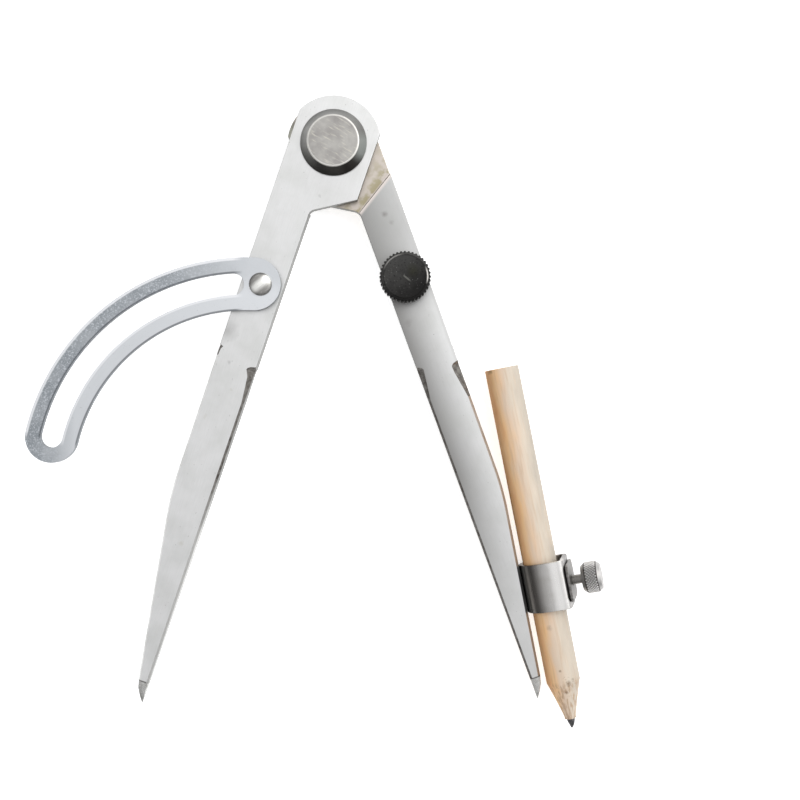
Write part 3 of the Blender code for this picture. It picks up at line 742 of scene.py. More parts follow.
wing = arc_band("slotted_wing", WING_WIDTH, WING_START, WING_END, wing_low, wing_high)
cut(wing, arc_band("slot_cutter", SLOT_WIDTH, SLOT_START, WING_END, wing_low - MM, wing_high + MM))
drill(wing, RIVET_HOLE, (0, 0, wing_low - MM), (0, 0, wing_high + MM), 64)
break_edges(wing, SHEET_EDGE, steps=5, over=60)
zinc_plate = bpy.data.materials.new("zinc_plate")
sheared_edge = bpy.data.materials.new("sheared_edge")
wing.data.materials.append(zinc_plate)
skin_faces(wing, sheared_edge, lambda face: abs(face.normal.z) < 0.5)
place(wing, Matrix.Translation((rivet_place.x, rivet_place.y, 0)) @ Matrix.Rotation(WING_SWING, 4, "Z"))
belongs(wing, "wing", "zinc_plate", "wing")

# %% [markdown]
# ## The wing's rivet and washer
# The rivet's head is a low dome on a thin flange, and its tail is spread into the countersink behind the
# leg. A dome could be half of a sphere primitive, but the whole rivet is one bar of wire, so it is one
# lathe section here, from the tail to the dome.

# %% Rivet and washer
RIVET_RADIUS = 1.5 * MM
RIVET_HEAD = 2.7 * MM
RIVET_TAIL = 2.2 * MM
FLANGE = 0.2 * MM
DOME_STEPS = 10

rivet_low, rivet_high = (corner.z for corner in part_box("wing_rivet"))
washer_low, washer_high = (corner.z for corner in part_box("wing_washer"))
washer_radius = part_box("wing_washer")[1].x - rivet_place.x
rivet_head_low = wing_high + 0.05 * MM
dome_height = rivet_high - rivet_head_low - FLANGE


def flat_ring(name, radius, hole, low, high, softness):
    """A punched washer about Z: a disc is inset to its hole, the hole is dropped, and the ring is raised."""
    bpy.ops.object.select_all(action="DESELECT")
    bpy.ops.mesh.primitive_circle_add(
        vertices=ROUND_STEPS, radius=radius, fill_type="NGON", location=(0, 0, low)
    )
    ring = open_piece(name)
    bpy.ops.mesh.inset(thickness=radius - hole)
    bpy.ops.mesh.delete(type="FACE")
    pick("FACE", lambda face: True)
    extrude((0, 0, high - low))
    close_shell()
    break_edges(ring, softness, steps=2)
    return ring


dome = []
for step in range(DOME_STEPS):
    angle = math.pi / 2 * step / DOME_STEPS
    dome.append((RIVET_HEAD * math.cos(angle), rivet_head_low + FLANGE + dome_height * math.sin(angle)))
rivet = turned(
    "domed_rivet",
    [
        (0, rivet_low),
        (RIVET_TAIL, rivet_low),
        (RIVET_RADIUS, rivet_low + RIVET_SINK),
        (RIVET_RADIUS, rivet_head_low),
        (RIVET_HEAD, rivet_head_low),
        *dome,
        (0, rivet_high),
    ],
    64,
)
break_edges(rivet, 0.05 * MM, steps=2, over=35)
thin_washer = flat_ring("thin_washer", washer_radius, RIVET_HOLE, washer_low, washer_high, 0.08 * MM)
for piece in (rivet, thin_washer):
    place(piece, Matrix.Translation((rivet_place.x, rivet_place.y, 0)))
belongs(rivet, "left_leg", "rivet_steel", "wing_rivet")
belongs(thin_washer, "left_leg", "rivet_steel", "wing_washer")

# %% [markdown]
# ## The lock knob
# The knob is turned from bar and its rim is rolled between two toothed wheels, which leaves straight,
# rounded teeth with chamfered ends. Its face is slightly dished, with a fine groove near the rim and the
# small pip that the lathe leaves in the middle.
#
# Forty grooves could be cut with Booleans. It is lighter to start from a circle with eight corners to a
# tooth: all the corners at the same step of a tooth are picked at once and drawn in by the same amount. The
# rings below and above stay round, so the teeth run out into a chamfer by themselves.

# %% Knob
TEETH = 40
TOOTH_CORNERS = 8
TOOTH_DEPTH = 0.42 * MM
KNOB_RADIUS = 6.0 * MM
KNOB_CHAMFER = 0.5 * MM
KNOB_HEIGHT = 3.4 * MM
LOWER_CHAMFER = 0.35 * MM  # heights of the three upright steps of the rim
UPPER_CHAMFER = 0.4 * MM
RIM_ROUND = 0.15 * MM
BOSS_RADIUS = 3.7 * MM
BOSS_HEIGHT = 1.7 * MM
BOSS_CHAMFER = 0.15 * MM
KNOB_BORE = 2.06 * MM

knob_low, knob_high = (corner.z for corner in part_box("lock_knob"))
disc_low = knob_high - KNOB_HEIGHT
stud_low, stud_high = (corner.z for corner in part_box("lock_screw"))


def draw_in_teeth(height):
    """Shapes one round ring of corners into rounded teeth."""
    count = TEETH * TOOTH_CORNERS
    for step in range(TOOTH_CORNERS):
        inset = TOOTH_DEPTH * (1 - abs(math.cos(math.pi * step / TOOTH_CORNERS)) ** 0.8)
        shrink = (KNOB_RADIUS - inset) / KNOB_RADIUS

        def on_step(corner):
            index = round(math.atan2(corner.co.y, corner.co.x) / math.tau * count)
            return abs(corner.co.z - height) < PICK_REACH and index % TOOTH_CORNERS == step

        pick("VERT", on_step)
        bpy.ops.transform.resize(value=(shrink, shrink, 1), center_override=(0, 0, height))


def raise_ring(step, grow):
    """Extrudes the selected face and makes it larger or smaller about the axis."""
    extrude((0, 0, step))
    bpy.ops.transform.resize(value=(grow, grow, 1), center_override=(0, 0, 0))


round_radius = KNOB_RADIUS - KNOB_CHAMFER
bpy.ops.object.select_all(action="DESELECT")
bpy.ops.mesh.primitive_circle_add(
    vertices=TEETH * TOOTH_CORNERS, radius=round_radius, fill_type="NGON", location=(0, 0, disc_low)
)
knob = open_piece("knurled_knob")
shoulder_radius = KNOB_RADIUS - 0.35 * MM
raise_ring(LOWER_CHAMFER, KNOB_RADIUS / round_radius)
raise_ring(KNOB_HEIGHT - LOWER_CHAMFER - UPPER_CHAMFER - RIM_ROUND, 1)
raise_ring(UPPER_CHAMFER, shoulder_radius / KNOB_RADIUS)
raise_ring(RIM_ROUND, (round_radius - 0.2 * MM) / shoulder_radius)
# the face, from the rim inwards: the rounded edge, the groove, the dish and the pip
for inset, depth in (
    (0.18 * MM, 0),
    (0.05 * MM, -0.1 * MM),
    (0.08 * MM, 0),
    (0.06 * MM, 0.08 * MM),
    (1.3 * MM, -0.13 * MM),
    (1.5 * MM, -0.08 * MM),
    (1.1 * MM, -0.03 * MM),
    (0.3 * MM, -0.2 * MM),
):
    bpy.ops.mesh.inset(thickness=inset, depth=depth)
bpy.ops.mesh.merge(type="CENTER")
draw_in_teeth(disc_low + LOWER_CHAMFER)
draw_in_teeth(knob_high - UPPER_CHAMFER - RIM_ROUND)

# The boss and its blind bore are drawn out of the disc's lower face.
pick("FACE", lambda face: len(face.verts) > 4 and abs(middle(face).z - disc_low) < PICK_REACH)
bpy.ops.mesh.inset(thickness=round_radius - BOSS_RADIUS)
raise_ring(BOSS_CHAMFER - BOSS_HEIGHT, 1)
raise_ring(-BOSS_CHAMFER, (BOSS_RADIUS - BOSS_CHAMFER) / BOSS_RADIUS)
bpy.ops.mesh.inset(thickness=BOSS_RADIUS - BOSS_CHAMFER - KNOB_BORE)
raise_ring(stud_high + 0.1 * MM - knob_low, 1)
close_shell()

# %% [markdown]
# ## Threads
# The knob is fixed on a stud that is threaded into the right leg. A thread is one tooth beside the axis,
# wound up with the Screw modifier. Its seams are merged, and the two ends are cut flat and filled with
# bisect.

# %% Stud and washer
THREAD_STEPS = 32
STUD_RADIUS = 2.0 * MM
STUD_PITCH = 0.7 * MM
LOCK_WASHER_RADIUS = 4.2 * MM


def threaded_rod(name, radius, pitch, low, high):
    """A threaded rod about Z between two heights."""
    root = radius - 0.6 * pitch
    turns = math.ceil((high - low) / pitch) + 2
    start = low - pitch
    tooth = [(root, 0), (root, 0.14), (radius, 0.46), (radius, 0.58), (root, 0.9), (root, 1)]
    rod = trace(name, [(across, 0, start + pitch * up) for across, up in reversed(tooth)])
    bpy.ops.object.mode_set(mode="OBJECT")
    use_modifier(
        rod,
        "SCREW",
        screw_offset=pitch,
        iterations=turns,
        steps=THREAD_STEPS,
        render_steps=THREAD_STEPS,
        use_merge_vertices=False,
        merge_threshold=0.001 * MM,
    )
    reopen(rod)
    bpy.ops.mesh.remove_doubles(threshold=0.002 * MM)
    for height, way in ((low, -1), (high, 1)):
        bpy.ops.mesh.select_all(action="SELECT")
        bpy.ops.mesh.bisect(
            plane_co=(
                0, 0, height
            ), plane_no=(0, 0, way), use_fill=True, clear_outer=True, threshold=0.001 * MM
        )
    close_shell()
    return rod


stud = threaded_rod("threaded_stud", STUD_RADIUS, STUD_PITCH, stud_low, stud_high)
lock_washer_low, lock_washer_high = (corner.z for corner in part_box("lock_washer"))
knob_washer = flat_ring(
    "knob_washer", LOCK_WASHER_RADIUS, LOCK_HOLE, lock_washer_low, lock_washer_high, 0.1 * MM
)
for piece in (knob, stud, knob_washer):
    place(piece, Matrix.Translation((lock_place.x, lock_place.y, 0)))
belongs(knob, "lock_knob", "black_oxide", "lock_knob")
belongs(stud, "lock_knob", "screw_steel", "lock_screw")
belongs(knob_washer, "lock_washer", "screw_steel", "lock_washer")

# %% [markdown]
# ## The pencil clamp
# A stainless strip is bent into a D round the pencil, with its flat side towards the thumbscrew. The
# outline is traced like the wing's, with one spin for the round side, and then inset by the strip's
# thickness, as a section of the strip. A thin plate with rounded corners lies on the flat side, where the
# screw goes through both.

# %% Strip and plate
CLAMP_HEIGHT = 11.4 * MM
CLAMP_BORE = 4.6 * MM
STRIP = 1.0 * MM
STRIP_CORNER = 1.4 * MM
PLATE_THICKNESS = 0.6 * MM
PLATE_HEIGHT = 11.2 * MM
PLATE_WIDTH = 8.8 * MM
PLATE_CORNER = 1.6 * MM
PLATE_GAP = 0.1 * MM
SCREW_HOLE = 1.35 * MM

strip_outside = CLAMP_BORE + STRIP
clamp_frame = frame_on(clamp_place, clamp_axis, pencil_axis)
screw_frame = frame_on(clamp_place, pencil_axis, clamp_axis)

band = trace("pencil_band", [(strip_outside, strip_outside, 0), (0, strip_outside, 0)])
spin((0, 0, 0), math.pi, 48)
draw_on((0, -strip_outside, 0), [(strip_outside, -strip_outside, 0)])
fill()
for corner in ((strip_outside, strip_outside, 0), (strip_outside, -strip_outside, 0)):
    round_corner(corner, STRIP_CORNER, math.pi / 2, 8)
pick("FACE", lambda face: True)
bpy.ops.mesh.inset(thickness=STRIP)
bpy.ops.mesh.delete(type="FACE")
pick("FACE", lambda face: True)
extrude((0, 0, CLAMP_HEIGHT))
bpy.ops.mesh.select_all(action="SELECT")
bpy.ops.transform.translate(value=(0, 0, -CLAMP_HEIGHT / 2))
close_shell()
drill(band, SCREW_HOLE, (2 * MM, 0, 0), (2 * strip_outside, 0, 0), 48)
break_edges(band, 0.16 * MM, steps=3, over=50)
place(band, clamp_frame)
belongs(band, "right_leg", "stainless_strip", "clamp_ring")

plate_low = strip_outside + PLATE_GAP
bpy.ops.object.select_all(action="DESELECT")
bpy.ops.mesh.primitive_plane_add(size=1, location=(0, 0, plate_low))
bpy.context.object.scale = (PLATE_WIDTH, PLATE_HEIGHT, 1)
plate = open_piece("nut_plate")
pick("VERT", lambda corner: True)
bpy.ops.mesh.bevel(affect="VERTICES", offset_type="ABSOLUTE", offset=PLATE_CORNER, segments=8)
pick("FACE", lambda face: True)
extrude((0, 0, PLATE_THICKNESS))
close_shell()
drill(plate, SCREW_HOLE, (0, 0, plate_low - MM), (0, 0, plate_low + PLATE_THICKNESS + MM), 48)
break_edges(plate, 0.15 * MM, steps=3, over=50)
place(plate, screw_frame)
belongs(plate, "right_leg", "stainless_strip", "clamp_nut")

# %% [markdown]
# ## The thumbscrew
# The shank is threaded where it runs in the strip and plate, and plain under the head. The head has a
# diamond knurl. The trick is that a diamond grid is a square grid on its tip: the side of a drum is poked,
# which puts a corner in every square, and then the old square edges are dissolved. Each diamond that is
# left is inset and raised.

# %% Shank and knurled head
SHANK_RADIUS = 1.25 * MM
SHANK_PITCH = 0.45 * MM
SHANK_NECK = 1.1 * MM
HEAD_KNOB_RADIUS = 3.75 * MM
HEAD_KNOB_LENGTH = 4.5 * MM
HEAD_CHAMFER = 0.8 * MM
HEAD_BORE = 1.31 * MM
SHANK_START = 3.66 * MM  # just clear of the pencil
NECK_LENGTH = 2.4 * MM
HEAD_COVER = 1.5 * MM  # what the head has left beyond the shank
KNURL_AROUND = 32
KNURL_ROWS = 4
KNURL_HEIGHT = 0.24 * MM

shank_low = SHANK_START
plate_high = plate_low + PLATE_THICKNESS
head_low = plate_high + NECK_LENGTH
head_high = head_low + HEAD_KNOB_LENGTH
shank_high = head_high - HEAD_COVER

shank = threaded_rod("thumbscrew_shank", SHANK_RADIUS, SHANK_PITCH, shank_low, plate_high + 0.2 * MM)
bpy.ops.object.select_all(action="DESELECT")
neck_low = plate_high - 0.3 * MM
bpy.ops.mesh.primitive_cylinder_add(
    vertices=48, radius=SHANK_NECK, depth=shank_high - neck_low, location=(0, 0, (shank_high + neck_low) / 2)
)
cut(shank, bpy.context.object, "UNION")
place(shank, screw_frame)
belongs(shank, "clamp_screw", "screw_steel", "clamp_screw")

drum = HEAD_KNOB_RADIUS - KNURL_HEIGHT
end_radius = HEAD_KNOB_RADIUS - HEAD_CHAMFER
bpy.ops.object.select_all(action="DESELECT")
bpy.ops.mesh.primitive_circle_add(
    vertices=KNURL_AROUND, radius=end_radius, fill_type="NGON", location=(0, 0, head_low)
)
head = open_piece("thumbscrew_head")
raise_ring(HEAD_CHAMFER, drum / end_radius)
for _ in range(KNURL_ROWS):
    raise_ring((HEAD_KNOB_LENGTH - 2 * HEAD_CHAMFER) / KNURL_ROWS, 1)
raise_ring(HEAD_CHAMFER, end_radius / drum)
bpy.ops.mesh.inset(thickness=0.5 * MM, depth=-0.08 * MM)
bpy.ops.mesh.inset(thickness=0.9 * MM, depth=-0.04 * MM)

drum_low = head_low + HEAD_CHAMFER
drum_high = head_high - HEAD_CHAMFER
drum_skin = drum * 0.98


def on_drum(item):
    at = middle(item)
    return drum_low - PICK_REACH < at.z < drum_high + PICK_REACH and at.xy.length > drum_skin


pick("FACE", lambda face: on_drum(face) and abs(face.normal.z) < 0.1)
bpy.ops.mesh.poke()
grid_step = (drum_high - drum_low) / KNURL_ROWS


def on_grid(corner):
    """True for a corner of the old square grid, which lies on one of its rings."""
    rows = (corner.co.z - drum_low) / grid_step
    return abs(rows - round(rows)) < 0.1


pick(
    "EDGE",
    lambda edge: all(on_grid(corner) and corner.co.xy.length > drum_skin for corner in edge.verts)
    and drum_low + PICK_REACH < middle(edge).z < drum_high - PICK_REACH,
)
bpy.ops.mesh.dissolve_edges(use_verts=False)
pick("FACE", lambda face: on_drum(face) and abs(face.normal.z) < 0.1 and len(face.verts) == 4)
bpy.ops.mesh.inset(thickness=0.13 * MM, depth=KNURL_HEIGHT * 0.8, use_individual=True)
pick("FACE", lambda face: len(face.verts) > 8 and abs(middle(face).z - head_low) < PICK_REACH)
bpy.ops.mesh.inset(thickness=end_radius - HEAD_BORE)
raise_ring(shank_high + 0.1 * MM - head_low, 1)
close_shell()
place(head, screw_frame)
belongs(head, "clamp_knob", "screw_steel", "clamp_knob")

# %% [markdown]
# ## The pencil
# A wooden pencil is two grooved slats glued round a lead. Half a section is spun by half a turn and its
# flat sides are filled, which gives one slat. Its copy is turned over. The sharpened cone is part of the
# section, and the thin end of the wood, where it meets the lead, is shaken a little, because a blade never
# leaves it even.

# %% Slats
PENCIL_RADIUS = 4.0 * MM
PENCIL_TOP = -52.47 * MM
PENCIL_TIP = 34.73 * MM
CONE_LENGTH = 11.5 * MM
BARE_LEAD = 2.4 * MM
LEAD_BORE = 1.15 * MM
WOOD_EDGE = 0.12 * MM
CONE_HOLLOW = 0.10 * MM
GLUE_GAP = 0.01 * MM
CONE_RINGS = 14
SLAT_STEPS = 48
RAGGED = 0.22 * MM

cone_start = PENCIL_TIP - CONE_LENGTH
cone_end = PENCIL_TIP - BARE_LEAD
offset = CLAMP_BORE - PENCIL_RADIUS - PLATE_GAP
pencil_out = Vector((-pencil_axis.y, pencil_axis.x, 0))
pencil_frame = frame_on(clamp_place - offset * pencil_out, pencil_out, pencil_axis)

wood_end = LEAD_BORE + WOOD_EDGE
section = [
    (LEAD_BORE, PENCIL_TOP),
    (PENCIL_RADIUS - WOOD_EDGE, PENCIL_TOP),
    (PENCIL_RADIUS, PENCIL_TOP + WOOD_EDGE),
]
for ring in range(CONE_RINGS + 1):
    share = ring / CONE_RINGS
    hollow = CONE_HOLLOW * math.sin(math.pi * share)
    across = PENCIL_RADIUS + (wood_end - PENCIL_RADIUS) * share - hollow
    section.append((across, cone_start + (cone_end - cone_start) * share))
section.append((LEAD_BORE, cone_end))
section.append((LEAD_BORE, PENCIL_TOP))

upper_slat = trace("upper_slat", [(radius, 0, height) for radius, height in section])
fill()
spin((0, 0, 0), math.pi, SLAT_STEPS)
bpy.ops.mesh.select_all(action="SELECT")
bpy.ops.mesh.remove_doubles(threshold=0.002 * MM)
pick(
    "VERT",
    lambda corner: corner.co.z > cone_end - PICK_REACH and corner.co.xy.length > LEAD_BORE + PICK_REACH,
)
bpy.ops.transform.vertex_random(offset=RAGGED, uniform=0, normal=0, seed=4)
close_shell()

lower_slat = copy(upper_slat, "lower_slat")
for slat, turn in ((upper_slat, 0), (lower_slat, math.pi)):
    place(slat, pencil_frame @ Matrix.Rotation(turn, 4, "Z") @ Matrix.Translation((0, GLUE_GAP, 0)))
belongs(upper_slat, "pencil", "pencil_wood", "pencil_front_slat")
belongs(lower_slat, "pencil", "pencil_wood", "pencil_back_slat")

# %% [markdown]
# ## The lead
# The lead runs the whole length. Its tip has been written with, so it is rounded, and a little lower on one
# side. A few rings in the section give the worn side something to bend at.

# %% Lead
LEAD_RADIUS = 1.05 * MM
LEAD_TIP = 0.42 * MM
LEAD_INSET = 0.1 * MM
WORN = 0.35 * MM

lead = turned(
    "lead",
    [
        (0, PENCIL_TOP + LEAD_INSET),
        (LEAD_RADIUS, PENCIL_TOP + LEAD_INSET),
        (LEAD_RADIUS, cone_end + 0.05 * MM),
        (LEAD_RADIUS - 0.2 * MM, cone_end + 0.8 * MM),
        (LEAD_TIP + 0.12 * MM, PENCIL_TIP - 0.75 * MM),
        (LEAD_TIP, PENCIL_TIP - 0.4 * MM),
        (LEAD_TIP * 0.85, PENCIL_TIP - 0.16 * MM),
        (LEAD_TIP * 0.5, PENCIL_TIP - 0.04 * MM),
        (0, PENCIL_TIP),
    ],
    48,
)
reopen(lead)
pick("VERT", lambda corner: corner.co.z > PENCIL_TIP - 0.5 * MM and corner.co.x > 0)
bpy.ops.transform.translate(value=(-0.06 * MM, 0, -WORN / 2))
pick("VERT", lambda corner: corner.co.z > cone_end + 0.4 * MM)
bpy.ops.transform.vertex_random(offset=0.05 * MM, uniform=0, normal=0, seed=7)
close_shell()
place(lead, pencil_frame)
belongs(lead, "pencil", "graphite", "pencil_lead")

# %% [markdown]
# ## Node tools for the finishes
# Every finish is made of nodes on Object coordinates, counted in millimetres, so that the grain has its real
# size and stays on the piece. A pattern is turned with a Mapping node so that it runs along the leg or the
# pencil, and a noise that is stretched along one axis makes grain.

# %% Node tools


def begin_finish(name, roughness, metallic=1.0):
    """A material, new or from the modelling above, with its plain values on the shader."""
    finish = bpy.data.materials.get(name) or bpy.data.materials.new(name)
    finish.use_nodes = True
    shader = finish.node_tree.nodes["Principled BSDF"]
    shader.inputs["Roughness"].default_value = roughness
    shader.inputs["Metallic"].default_value = metallic
    return finish


def add(finish, kind, sockets=None, **settings):
    """Adds a node. A socket takes a value or another node's output."""
    node = finish.node_tree.nodes.new("ShaderNode" + kind)
    for name, value in settings.items():
        setattr(node, name, value)
    for name, value in (sockets or {}).items():
        if isinstance(value, bpy.types.NodeSocket):
            finish.node_tree.links.new(value, node.inputs[name])
        else:
            node.inputs[name].default_value = value
    return node


def to_shader(finish, socket, value):
    shader = finish.node_tree.nodes["Principled BSDF"]
    finish.node_tree.links.new(value, shader.inputs[socket])


def pattern_space(finish, turn=0.0, stretch=(1, 1, 1), start=(0, 0, 0)):
    """Object coordinates in millimetres from a start, turned about Z, each axis stretched or squeezed."""
    place_node = add(finish, "TexCoord")
    centred = add(
        finish,
        "Mapping",
        {"Vector": place_node.outputs["Object"], "Location": start, "Rotation": (0, 0, turn)},
        vector_type="TEXTURE",
    )
    scaled = add(
        finish, "Mapping", {"Vector": centred.outputs[0], "Scale": [1000 * share for share in stretch]}
    )
    return scaled.outputs[0]


def noise(finish, space, scale, detail=3.0, roughness=0.55, distortion=0.0):
    """Soft random patches. The scale is the number of patches in a millimetre."""
    sockets = {"Vector": space, "Scale": scale, "Detail": detail}
    sockets |= {"Roughness": roughness, "Distortion": distortion}
    return add(finish, "TexNoise", sockets).outputs["Fac"]


def spread(finish, value, low, high, new_low=0.0, new_high=1.0):
    """Maps a range of values to another one and clamps it."""
    sockets = {0: value, 1: low, 2: high, 3: new_low, 4: new_high}
    return add(finish, "MapRange", sockets).outputs[0]


def maths(finish, operation, first, second=0.0):
    return add(finish, "Math", {0: first, 1: second}, operation=operation).outputs[0]


def mixed(finish, share, first, second):
    """Two colours, mixed by a share."""
    mix = add(finish, "Mix", {0: share, 6: first, 7: second}, data_type="RGBA")
    return mix.outputs[2]


def relief(finish, height, depth, under=None):
    """A bump whose full height is a depth in millimetres."""
    sockets = {"Height": height, "Distance": depth * MM, "Strength": 1.0}
    if under is not None:
        sockets["Normal"] = under
    return add(finish, "Bump", sockets).outputs[0]


def parts(finish, space):
    """The x, y and z of a space."""
    return add(finish, "SeparateXYZ", {0: space}).outputs


def from_axis(finish, across, along):
    """The distance from an axis along Z, from the other two coordinates."""
    flat = add(finish, "CombineXYZ", {0: across, 1: along}).outputs[0]
    return add(finish, "VectorMath", {0: flat}, operation="LENGTH").outputs["Value"]


def patch(finish, space, at, radius, ragged=0.0):
    """A soft round mark at a place in millimetres, with a ragged edge if asked."""
    away = add(finish, "VectorMath", {0: space, 1: at}, operation="DISTANCE").outputs["Value"]
    if ragged:
        edge = noise(finish, space, 1.3 / radius, 4.0)
        away = add(
            finish, "Math", {0: edge, 1: ragged * radius, 2: away}, operation="MULTIPLY_ADD"
        ).outputs[0]
    return spread(finish, away, radius, radius * 0.4)


def ramp(finish, value, stops):
    """A colour ramp through some stops, as (place, colour)."""
    node = add(finish, "ValToRGB", {"Fac": value})
    for index, (at, colour) in enumerate(stops):
        stop = node.color_ramp.elements[index] if index < 2 else node.color_ramp.elements.new(at)
        stop.position = at
        stop.color = (*colour, 1)
    return node.outputs["Color"]


def wear(finish, *wearers):
    """Gives a finish to some pieces, in their first slot."""
    for wearer in wearers:
        if wearer.data.materials:
            wearer.data.materials[0] = finish
        else:
            wearer.data.materials.append(finish)
    print(f"{finish.name} on", ", ".join(wearer.name for wearer in wearers))


# %% [markdown]
# ## The table, the light and the camera
# A white sheet that is also lit a little from below, two broad soft lamps at the right and a pale room that
# is brighter towards the top right. The camera looks straight down from a little under 30 cm, so the far
# ends of the legs are seen at a slight slant.

# %% Stage
TABLE_SIZE = 3.0
TABLE_GLOW = 0.55
CAMERA_HEIGHT = 0.2912
CAMERA_LENS = 54
CAMERA_PLACE = (0.01504, -0.06089)
CAMERA_TURN = math.radians(-0.6)


def lamp(name, size, power, location, aim, colour=(1, 1, 1)):
    """A soft square light that faces a point."""
    light = bpy.data.lights.new(name, "AREA")
    light.shape = "SQUARE"
    light.size = size
    light.energy = power
    light.color = colour
    lamp_object = bpy.data.objects.new(name, light)
    bpy.context.scene.collection.objects.link(lamp_object)
    lamp_object.location = location
    lamp_object.rotation_euler = (Vector(aim) - Vector(location)).to_track_quat("-Z", "Y").to_euler()


bpy.ops.object.select_all(action="DESELECT")
bpy.ops.mesh.primitive_plane_add(size=TABLE_SIZE, location=(0, -0.06, 0))
table = bpy.context.object
table.name = "table"
bpy.ops.object.transform_apply(location=True, rotation=True, scale=True)
paper = begin_finish("table_white", roughness=0.9, metallic=0.0)
sheet = paper.node_tree.nodes["Principled BSDF"]
sheet.inputs["Base Color"].default_value = (0.93, 0.93, 0.93, 1)
sheet.inputs["Emission Color"].default_value = (1, 1, 1, 1)
sheet.inputs["Emission Strength"].default_value = TABLE_GLOW
table.data.materials.append(paper)

lamp("key", 0.70, 2.4, (0.40, 0.30, 0.50), (0, -0.06, 0), (1, 0.99, 0.97))
lamp("window", 0.60, 0.75, (0.55, -0.02, 0.30), (0, -0.06, 0), (0.97, 0.99, 1))

# The room is brightest overhead and darker towards the horizon, like a white tent with a lit roof.
ROOM_BANDS = ((0.0, 0.18), (0.32, 0.36), (0.65, 0.80), (0.88, 1.0), (1.0, 1.0))
room = bpy.data.worlds.new("pale_room")
room.use_nodes = True
way_x, way_y, way_z = (parts(room, add(room, "TexCoord").outputs["Generated"])[axis] for axis in "XYZ")
bands = ramp(room, way_z, [(at, (level, level, level * 1.02)) for at, level in ROOM_BANDS])
window_side = maths(room, "ADD", maths(room, "MULTIPLY", way_x, 0.28), maths(room, "MULTIPLY", way_y, 0.32))
lit = maths(room, "ADD", window_side, 1.0)
room.node_tree.links.new(bands, room.node_tree.nodes["Background"].inputs["Color"])
room.node_tree.links.new(lit, room.node_tree.nodes["Background"].inputs["Strength"])
bpy.context.scene.world = room
bpy.context.scene.view_settings.view_transform = "Standard"

camera = bpy.data.objects.new("camera", bpy.data.cameras.new("camera"))
bpy.context.scene.collection.objects.link(camera)
camera.data.lens = CAMERA_LENS
camera.data.clip_start = 0.005
camera.location = (*CAMERA_PLACE, CAMERA_HEIGHT)
camera.rotation_euler = (0, 0, CAMERA_TURN)
bpy.context.scene.camera = camera
print(f"camera {CAMERA_HEIGHT * 100:.1f} cm above the table, looking straight down")

# %% [markdown]
# ## Satin steel on the legs
# The legs are flat bar, forged, ground and then drum-polished with fine stone. That leaves an even satin
# skin with a faint lengthwise grain, small pits that the stone doesn't reach, and thumb marks. On the right
# leg, painted shade darkens the inner side and the part near the hinge, and a painted shade line runs just
# inside the outer edge.
#
# Each leg has its own finish, because the grain follows its own direction. The marks are soft round patches
# on the leg's own millimetres: x runs from the hinge to the point, y to the right.

# %% Satin steel
STEEL_LIGHT = (0.73, 0.732, 0.722, 1)
STEEL_MID = (0.56, 0.56, 0.545, 1)
STEEL_DULL = (0.25, 0.247, 0.238, 1)
OLIVE_STAIN = (0.36, 0.32, 0.20, 1)
BARE_LAP = (0.56, 0.51, 0.455, 1)
DARK_MARK = (0.20, 0.19, 0.18, 1)


def satin_steel(name, turn):
    """The skin that both legs share. Gives the finish, its space, its across coordinate and its colour."""
    finish = begin_finish(name, roughness=0.36)
    space = pattern_space(finish, turn)
    grain = noise(finish, pattern_space(finish, turn, (0.05, 1, 1)), 5.0, 4.0)
    clouds = noise(finish, space, 0.16, 3.0)
    pits = noise(finish, space, 1.9, 2.0, 0.4)
    colour = mixed(finish, spread(finish, clouds, 0.36, 0.64), STEEL_LIGHT, (0.66, 0.665, 0.65, 1))
    colour = mixed(finish, spread(finish, grain, 0.45, 0.80, 0.0, 0.28), colour, STEEL_MID)
    colour = mixed(finish, spread(finish, pits, 0.735, 0.80, 0.0, 0.6), colour, DARK_MARK)
    to_shader(finish, "Roughness", spread(finish, clouds, 0.3, 0.7, 0.30, 0.43))
    to_shader(finish, "Normal", relief(finish, grain, 0.004))
    seam = spread(finish, parts(finish, space)["X"], LEG_END / MM - 0.35, LEG_END / MM - 0.1)
    colour = mixed(finish, seam, colour, DARK_MARK)  # oil in the joint of the point
    across = parts(finish, space)["Y"]
    return finish, space, across, colour


left_steel, left_space, _, colour = satin_steel("satin_steel_left", -LEG_SPREAD - math.pi / 2)
# thumb marks along the left leg, as place, radius and strength
for at, radius, strength in (
    ((50, -9.4, 8), 6.5, 0.5),
    ((57, -6.6, 8), 1.2, 0.6),
    ((13, 1.0, 8), 0.9, 0.6),
    ((8, 0, 8), 22, 0.10),
):
    mark = patch(left_steel, left_space, at, radius, 0.9)
    colour = mixed(left_steel, maths(left_steel, "MULTIPLY", mark, strength), colour, STEEL_DULL)
for at, radius in (((63, -4.0, 8), 1.2), ((71, -7.6, 8), 1.8), ((101, -3.5, 8), 2.0), ((37, 2.6, 8), 2.2)):
    mark = patch(left_steel, left_space, at, radius, 1.2)
    colour = mixed(left_steel, maths(left_steel, "MULTIPLY", mark, 0.30), colour, OLIVE_STAIN)
to_shader(left_steel, "Base Color", colour)
wear(left_steel, left_leg)

